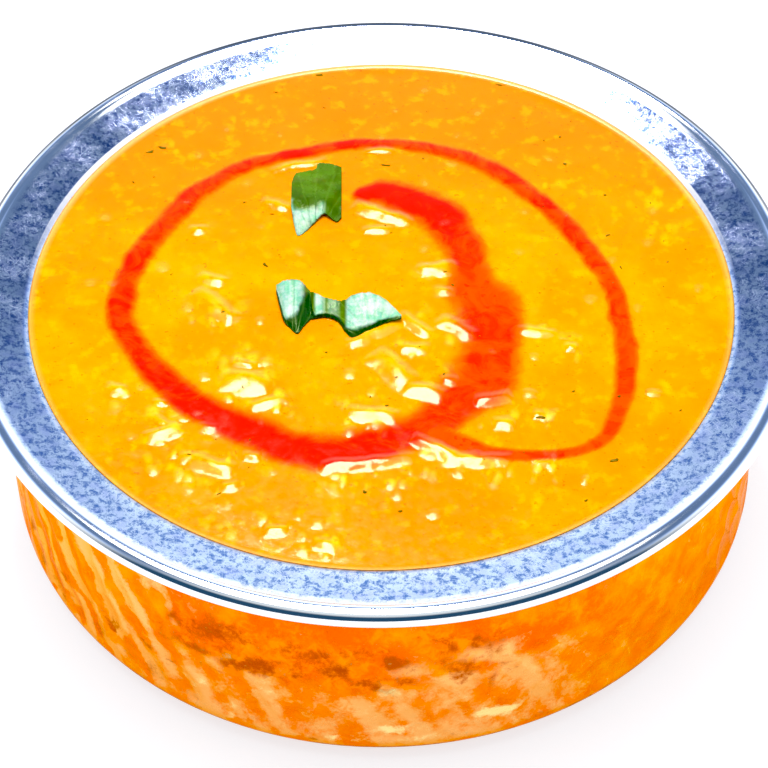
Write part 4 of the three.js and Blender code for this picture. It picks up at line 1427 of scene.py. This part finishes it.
# Larger flecks that lie on the dal: x, y, length, width and bearing.
FLECKS = (
    (-43.9, 38.8, 2.2, 1.1, 20), (-41.5, 39.9, 2.6, 0.9, -15), (-21.2, 7.7, 1.8, 0.9, -50),
    (39.3, -40.2, 1.9, 1.0, 30), (27.1, -30.5, 1.9, 0.7, -5), (23.9, 57.2, 2.2, 0.5, -5),
    (34.8, 41.7, 1.0, 0.7, 60), (42.3, 25.3, 0.8, 0.6, 0), (-11.6, 60.9, 1.8, 0.9, 10),
    (52.5, 7.3, 0.9, 0.5, 40), (1.2, 34.2, 2.0, 0.7, -5), (42.0, 14.5, 1.0, 0.8, 30),
    (0.8, -27.2, 0.9, 0.6, 10), (13.0, 2.0, 1.0, 0.5, -30),
)
FLECK_COUNT = 60
FLECK_SEED = 811
FLECK_SIDES = 9
FLECK_MARGIN = 0.5
FLECK_FIELD = 60

# The lesser ones: least and added length, and from and to the width as a share of it. The
# share of the full size to which each corner reaches, from and to.
FLECK_LENGTH = (0.35, 0.75)
FLECK_WIDTH = (0.3, 0.8)
FLECK_RAGGED = (0.4, 1.1)

# A fleck's rings from the top down: the share of its size, and the height over the dal.
FLECK_RINGS = ((0.55, 0.11), (1.0, 0.03), (1.0, -0.06), (0.55, -0.09))
FLECK_TOP = 0.13
FLECK_FOOT = -0.1


def herb_flecks_shape(relief):
    """Flecks as low ragged discs laid on the dal, which follow its slope: a middle point
    and two rings above, and the same below, all joined in one mesh."""
    rng = np.random.default_rng(FLECK_SEED)
    distance = FLECK_FIELD * np.sqrt(rng.uniform(0, 1, FLECK_COUNT))
    angle = rng.uniform(0, TURN, FLECK_COUNT)
    length = varied(*FLECK_LENGTH, rng.uniform(0, 1, FLECK_COUNT) ** 2)
    width = length * rng.uniform(*FLECK_WIDTH, FLECK_COUNT)
    bearing = rng.uniform(0, 180, FLECK_COUNT)
    loose = np.stack([distance * np.cos(angle), distance * np.sin(angle), length, width, bearing], -1)
    flecks = np.concatenate([FLECKS, loose])
    clear = np.ones(len(flecks), bool)
    for stations in LEAVES.values():
        clear &= ~leaf_near(stations, flecks[:, 0], flecks[:, 1], FLECK_MARGIN)
    flecks = flecks[clear]
    count = len(flecks)
    corner = np.linspace(0, TURN, FLECK_SIDES, endpoint=False)
    ragged = rng.uniform(*FLECK_RAGGED, (count, FLECK_SIDES))
    rings = []
    for share, lift in FLECK_RINGS:
        u = share * ragged * np.cos(corner) * flecks[:, 2, None] / 2
        v = share * ragged * np.sin(corner) * flecks[:, 3, None] / 2
        rings.append(np.stack([u, v, np.full_like(u, lift)], -1))
    top, foot = (np.tile([0, 0, lift], (count, 1, 1)) for lift in (FLECK_TOP, FLECK_FOOT))
    shape = np.concatenate([top, *rings, foot], axis=1)
    turn = np.radians(flecks[:, 4])[:, None]
    x = shape[..., 0] * np.cos(turn) - shape[..., 1] * np.sin(turn) + flecks[:, :1]
    y = shape[..., 0] * np.sin(turn) + shape[..., 1] * np.cos(turn) + flecks[:, 1:2]
    ground = dal_surface(x.ravel(), y.ravel(), relief)[0].reshape(x.shape)
    points = np.stack([x, y, ground + shape[..., 2]], -1).reshape(-1, 3)
    rows = len(FLECK_RINGS)
    first = 1 + np.arange(FLECK_SIDES)
    then = 1 + (np.arange(FLECK_SIDES) + 1) % FLECK_SIDES
    last = (rows - 1) * FLECK_SIDES
    fans = np.concatenate([
        np.stack([np.zeros(FLECK_SIDES, int), first, then], -1),
        np.stack([np.full(FLECK_SIDES, rows * FLECK_SIDES + 1), last + then, last + first], -1)])
    quads = np.concatenate([
        np.stack([first, first + FLECK_SIDES, then + FLECK_SIDES, then], -1) + k * FLECK_SIDES
        for k in range(rows - 1)])
    starts = np.arange(count)[:, None, None] * (rows * FLECK_SIDES + 2)
    return points, [(quads + starts).reshape(-1, 4), (fans + starts).reshape(-1, 3)]


# ---------------------------------------------------------------- studio

# The studio's lengths are metres. The camera's turns are radians: how far it looks down
# from level, its yaw and its roll. Its lens and sensor are millimetres.
CAMERA_PLACE = (-0.0001852, -0.3046233, 0.3551713)
CAMERA_PITCH = 0.8306
CAMERA_YAW = -0.0018
CAMERA_ROLL = -0.0104
CAMERA_LENS = 112.5
CAMERA_SENSOR = 36.0
CAMERA_NEAREST = 0.01
FLOOR_SIZE = 6.0
FLOOR_DROP = 0.0002
FLOOR_GLOW = 0.74
FLOOR_NOISE = 3.0
FLOOR_TONES = ((0.41, 0.41, 0.41), (0.43, 0.43, 0.43))
KEY_PLACE = (-0.06, 0.43, 1.22)
KEY_SIZE = (0.32, 0.62)
KEY_TINT = (0.68, 0.70, 1.0)
SOFTBOX_PLACE = (-0.05, 0.1, 1.2)
SOFTBOX_SIZE = (1.17, 1.17)

# The sky behind the bowl and the one behind the viewer: how high each colour stands, as
# the sine of its elevation. One passes to the other over this range along Y.
SKY_AHEAD = (
    (0.0, (1.0, 1.02, 1.05)), (0.42, (1.25, 1.32, 1.45)), (0.52, (0.85, 1.05, 1.40)),
    (0.63, (0.32, 0.45, 0.78)), (0.70, (0.14, 0.22, 0.40)), (0.86, (0.12, 0.19, 0.34)),
    (0.95, (0.9, 0.95, 1.0)),
)
SKY_BEHIND = (
    (0.0, (0.03, 0.08, 0.15)), (0.58, (0.03, 0.08, 0.15)), (0.76, (0.7, 0.75, 0.8)),
    (0.95, (0.9, 0.95, 1.0)),
)
SKY_TURNS = (-0.5, -0.1)

# Tones up to this one are shown black.
BLACK_LEVEL = 0.014


def colour(name, of_what, default):
    return FloatVectorProperty(
        name=name, description=f"Colour of {of_what}", subtype="COLOR", size=3,
        min=0, max=1, default=default)


class BowlSettings(bpy.types.PropertyGroup):
    """Sizes and colours of the bowl."""

    mark_depth: FloatProperty(
        name="Mark depth", description="How deep the hammer marks are knocked in, in mm",
        default=0.46, min=0, max=0.6)
    steel_colour: colour("Steel", "the steel", (0.82, 0.87, 0.89))
    steel_shade: colour("Steel shade", "the steel where it is duller", (0.12, 0.23, 0.47))
    steel_violet: colour("Violet steel", "the steel where it is tinged", (0.48, 0.50, 0.80))
    steel_rubbed: colour("Rubbed steel", "the rim and of scratches", (0.94, 0.96, 0.97))
    # The film colour is a painted cream highlight on the steel beside the dal.
    steel_glint: colour("Film", "the film of dried dal on the steel", (0.98, 0.93, 0.80))
    # The steel edge colour is a painted dark reflection on the rim's outside.
    steel_edge_shade: colour("Steel edge", "the rim's outside", (0.03, 0.05, 0.075))
    copper_colour: colour("Copper", "the copper", (0.96, 0.23, 0.001))
    copper_rich: colour("Rich copper", "the copper where it is redder", (0.90, 0.17, 0.0))
    # Gold also holds painted highlights, peach is painted reflection, pale is a painted gleam, and
    # deep and tarnish also hold painted shade.
    copper_gold_and_glint: colour("Copper gold", "the copper where it is lighter", (0.97, 0.34, 0.004))
    copper_peach_reflection: colour("Copper peach", "the worn copper", (0.97, 0.45, 0.13))
    # The pale copper colour is a painted highlight.
    copper_gleam_highlight: colour("Pale copper", "the copper where it gleams", (1.0, 0.80, 0.32))
    copper_deep_and_shade: colour("Deep copper", "the copper under the rim", (0.84, 0.12, 0.0))
    copper_tarnish_and_shade: colour("Tarnish", "the tarnish spots", (0.46, 0.075, 0.0))


class DalSettings(bpy.types.PropertyGroup):
    """Relief and colours of the dal, its oil and its herb flecks."""

    relief: FloatProperty(
        name="Relief", description="How far the curd stands out, as a share of the usual",
        default=1.0, min=0, max=1.5, subtype="FACTOR")
    dal_colour: colour("Dal", "the dal", (1.0, 0.36, 0.0))
    dal_warm: colour("Warm dal", "the dal where it is warmer", (1.0, 0.27, 0.0))
    dal_light: colour("Light dal", "the dal where it is lighter", (1.0, 0.46, 0.0))
    dal_far: colour("Deeper dal", "the dal where it is deeper", (1.0, 0.21, 0.0))
    # The dal rim colour is a painted highlight where the dal meets the steel.
    dal_rim_highlight: colour("Dal rim", "the dal against the steel", (1.0, 0.62, 0.16))
    lentil_colour: colour("Lentil", "bare lentils", (1.0, 0.60, 0.0))
    spice_colour: colour("Spice", "the ground spice", (0.42, 0.12, 0.0))
    oil_colour: colour("Oil", "the chilli oil", (1.0, 0.07, 0.0))
    oil_deep: colour("Deep oil", "the oil where it is deep", (0.84, 0.007, 0.0))
    oil_edge: colour("Oil edge", "dal soaked with oil", (1.0, 0.17, 0.0))
    chilli_colour: colour("Chilli", "chilli dregs in the oil", (0.45, 0.004, 0.0))
    herb_colour: colour("Herb", "the herb flecks", (0.28, 0.17, 0.0))
    herb_dark: colour("Dark herb", "the darkest flecks", (0.10, 0.08, 0.0))


class LeafSettings(bpy.types.PropertyGroup):
    """Colours of the coriander leaves."""

    leaf_colour: colour("Leaf", "a leaf", (0.09, 0.15, 0.0))
    leaf_bright: colour("Bright leaf", "a leaf where it is lighter", (0.12, 0.25, 0.0))
    leaf_olive: colour("Olive leaf", "a leaf where it is bruised", (0.16, 0.15, 0.0))
    # The dark leaf colour is painted shade in the folds and underneath.
    leaf_shade_colour: colour("Dark leaf", "a leaf in its folds", (0.005, 0.06, 0.004))
    # The pale leaf colour is the underside with a painted sheen.
    leaf_pale_and_sheen: colour("Pale leaf", "a leaf's underside", (0.52, 0.63, 0.48))
    leaf_mint: colour("Mint leaf", "the underside where it is greener", (0.17, 0.52, 0.28))
    vein_colour: colour("Vein", "the veins", (0.20, 0.38, 0.02))


class StudioSettings(bpy.types.PropertyGroup):
    """Lights of the studio."""

    key: FloatProperty(
        name="Key", description="Power of the lamp behind", default=17.0, min=0, unit="POWER")
    softbox: FloatProperty(
        name="Softbox", description="Power of the light above", default=7.5, min=0, unit="POWER")
    exposure: FloatProperty(name="Exposure", description="Exposure in stops", default=0.0)


class DAL_OT_steel_liner(bpy.types.Operator):
    """Make the steel lining with its rolled rim"""

    bl_idname = "dal.steel_liner"
    bl_label = "Steel liner"

    def execute(self, context):
        bowl = context.scene.bowl_settings
        points, faces, values = steel_liner_shape()
        new_piece("steel_liner_polished", points, faces, steel_finish(bowl),
                  ["steel_liner"], values)
        return {"FINISHED"}


class DAL_OT_copper_jacket(bpy.types.Operator):
    """Make the hammered copper jacket"""

    bl_idname = "dal.copper_jacket"
    bl_label = "Copper jacket"

    def execute(self, context):
        bowl = context.scene.bowl_settings
        points, faces, values = copper_jacket_shape(bowl.mark_depth)
        new_piece("copper_jacket_hammered", points, faces, copper_finish(bowl),
                  ["copper_jacket"], values)
        return {"FINISHED"}


class DAL_OT_dal(bpy.types.Operator):
    """Make the dal with its drizzle of chilli oil"""

    bl_idname = "dal.dal"
    bl_label = "Dal"

    def execute(self, context):
        food = context.scene.dal_settings
        points, faces, values = dal_shape(food.relief)
        new_piece("dal_with_chilli_oil", points, faces, dal_finish(food), ["dal"], values)
        return {"FINISHED"}


class DAL_OT_herb_flecks(bpy.types.Operator):
    """Make the small cooked herb flecks on the dal"""

    bl_idname = "dal.herb_flecks"
    bl_label = "Herb flecks"

    def execute(self, context):
        food = context.scene.dal_settings
        points, faces = herb_flecks_shape(food.relief)
        new_piece("herb_flecks", points, faces, herb_finish(food))
        return {"FINISHED"}


class DAL_OT_coriander(bpy.types.Operator):
    """Make the torn coriander leaves"""

    bl_idname = "dal.coriander"
    bl_label = "Coriander leaves"

    def execute(self, context):
        green = leaf_finish(context.scene.leaf_settings)
        for node in LEAVES:
            points, faces, values = leaf_shape(node)
            new_piece(f"{node}_veined", points, faces, green, [node], values)
        return {"FINISHED"}


class DAL_OT_studio(bpy.types.Operator):
    """Make the pale floor, the soft lights and the camera"""

    bl_idname = "dal.studio"
    bl_label = "Studio"

    def execute(self, context):
        studio = context.scene.studio_settings
        self.floor(context)
        self.lights(context, studio)
        self.camera(context)
        view = context.scene.view_settings
        view.view_transform = "Standard"
        view.look = "None"
        view.exposure = studio.exposure
        view.use_curve_mapping = True
        view.curve_mapping.black_level = (BLACK_LEVEL,) * 3
        view.curve_mapping.update()
        return {"FINISHED"}

    def floor(self, context):
        half = FLOOR_SIZE / 2
        mesh = bpy.data.meshes.new("studio_floor")
        mesh.from_pydata([(-half, -half, 0), (half, -half, 0), (half, half, 0), (-half, half, 0)],
                         [], [(0, 1, 2, 3)])
        paper = Finish("pale_floor", {
            "Roughness": 0.9, "Specular IOR Level": 0.1,
            "Emission Color": (1.0, 1.0, 1.0, 1.0), "Emission Strength": FLOOR_GLOW,
        })
        paper.drive("Base Color", paper.blend(paper.noise(FLOOR_NOISE), *FLOOR_TONES))
        mesh.materials.append(paper.material)
        floor = bpy.data.objects.new("studio_floor", mesh)
        floor.location.z = -FLOOR_DROP
        context.scene.collection.objects.link(floor)

    def lights(self, context, studio):
        """A smaller bright lamp high behind the bowl, a wide softbox overhead, and a sky
        that is dim blue half way up on the bowl's far side."""
        self.lamp(context, "key", studio.key, *KEY_SIZE, KEY_PLACE).color = KEY_TINT
        self.lamp(context, "softbox", studio.softbox, *SOFTBOX_SIZE, SOFTBOX_PLACE)
        world = bpy.data.worlds.new("studio_sky")
        world.use_nodes = True
        nodes, links = world.node_tree.nodes, world.node_tree.links
        place = nodes.new("ShaderNodeTexCoord")
        split = nodes.new("ShaderNodeSeparateXYZ")
        links.new(place.outputs["Generated"], split.inputs[0])
        halves = []
        for sky in (SKY_AHEAD, SKY_BEHIND):
            ramp = nodes.new("ShaderNodeValToRGB")
            links.new(split.outputs["Z"], ramp.inputs["Fac"])
            stops = ramp.color_ramp.elements
            while len(stops) < len(sky):
                stops.new(0.5)
            for stop, (position, tint) in zip(stops, sky):
                stop.position = position
                stop.color = (*tint, 1.0)
            halves.append(ramp.outputs["Color"])
        facing = nodes.new("ShaderNodeMapRange")
        facing.inputs["From Min"].default_value = SKY_TURNS[0]
        facing.inputs["From Max"].default_value = SKY_TURNS[1]
        links.new(split.outputs["Y"], facing.inputs["Value"])
        both = nodes.new("ShaderNodeMix")
        both.data_type = "RGBA"
        links.new(facing.outputs["Result"], both.inputs[MIX_SHARE])
        links.new(halves[1], both.inputs[MIX_FIRST])
        links.new(halves[0], both.inputs[MIX_SECOND])
        links.new(both.outputs[MIX_RESULT], nodes["Background"].inputs["Color"])
        context.scene.world = world

    def lamp(self, context, name, power, size, depth, place):
        """An oval lamp aimed at the bowl."""
        light = bpy.data.lights.new(name, "AREA")
        light.shape = "ELLIPSE"
        light.size = size
        light.energy = power
        light.size_y = depth
        lamp = bpy.data.objects.new(name, light)
        lamp.location = place
        lamp.rotation_euler = Vector(place).to_track_quat("Z", "Y").to_euler()
        context.scene.collection.objects.link(lamp)
        return light

    def camera(self, context):
        lens = bpy.data.cameras.new("camera")
        lens.lens = CAMERA_LENS
        lens.sensor_width = CAMERA_SENSOR
        lens.clip_start = CAMERA_NEAREST
        camera = bpy.data.objects.new("camera", lens)
        turn = (Matrix.Rotation(CAMERA_YAW, 4, "Z")
                @ Matrix.Rotation(math.pi / 2 - CAMERA_PITCH, 4, "X")
                @ Matrix.Rotation(CAMERA_ROLL, 4, "Z"))
        camera.matrix_world = Matrix.Translation(Vector(CAMERA_PLACE)) @ turn
        context.scene.collection.objects.link(camera)
        context.scene.camera = camera


SETTINGS = {
    "bowl_settings": BowlSettings,
    "dal_settings": DalSettings,
    "leaf_settings": LeafSettings,
    "studio_settings": StudioSettings,
}
STEPS = (
    DAL_OT_steel_liner,
    DAL_OT_copper_jacket,
    DAL_OT_dal,
    DAL_OT_herb_flecks,
    DAL_OT_coriander,
    DAL_OT_studio,
)


class DAL_PT_panel(bpy.types.Panel):
    """The bowl of dal's pieces, in the order in which they are made"""

    bl_idname = "DAL_PT_panel"
    bl_label = "Bowl of dal"
    bl_space_type = "VIEW_3D"
    bl_region_type = "UI"
    bl_category = "Dal"

    def draw(self, context):
        for step in STEPS:
            self.layout.operator(step.bl_idname)
        for name, kind in SETTINGS.items():
            box = self.layout.box()
            for key in kind.__annotations__:
                box.prop(getattr(context.scene, name), key)


def register():
    for kind in (*SETTINGS.values(), *STEPS, DAL_PT_panel):
        bpy.utils.register_class(kind)
    for name, kind in SETTINGS.items():
        setattr(bpy.types.Scene, name, PointerProperty(type=kind))


def unregister():
    for name in SETTINGS:
        delattr(bpy.types.Scene, name)
    for kind in (DAL_PT_panel, *reversed(STEPS), *reversed(SETTINGS.values())):
        bpy.utils.unregister_class(kind)


def main():
    """Makes every piece and the studio."""
    register()
    bpy.ops.dal.steel_liner()
    bpy.ops.dal.copper_jacket()
    bpy.ops.dal.dal()
    bpy.ops.dal.herb_flecks()
    bpy.ops.dal.coriander()
    bpy.ops.dal.studio()


if __name__ == "__main__":
    main()
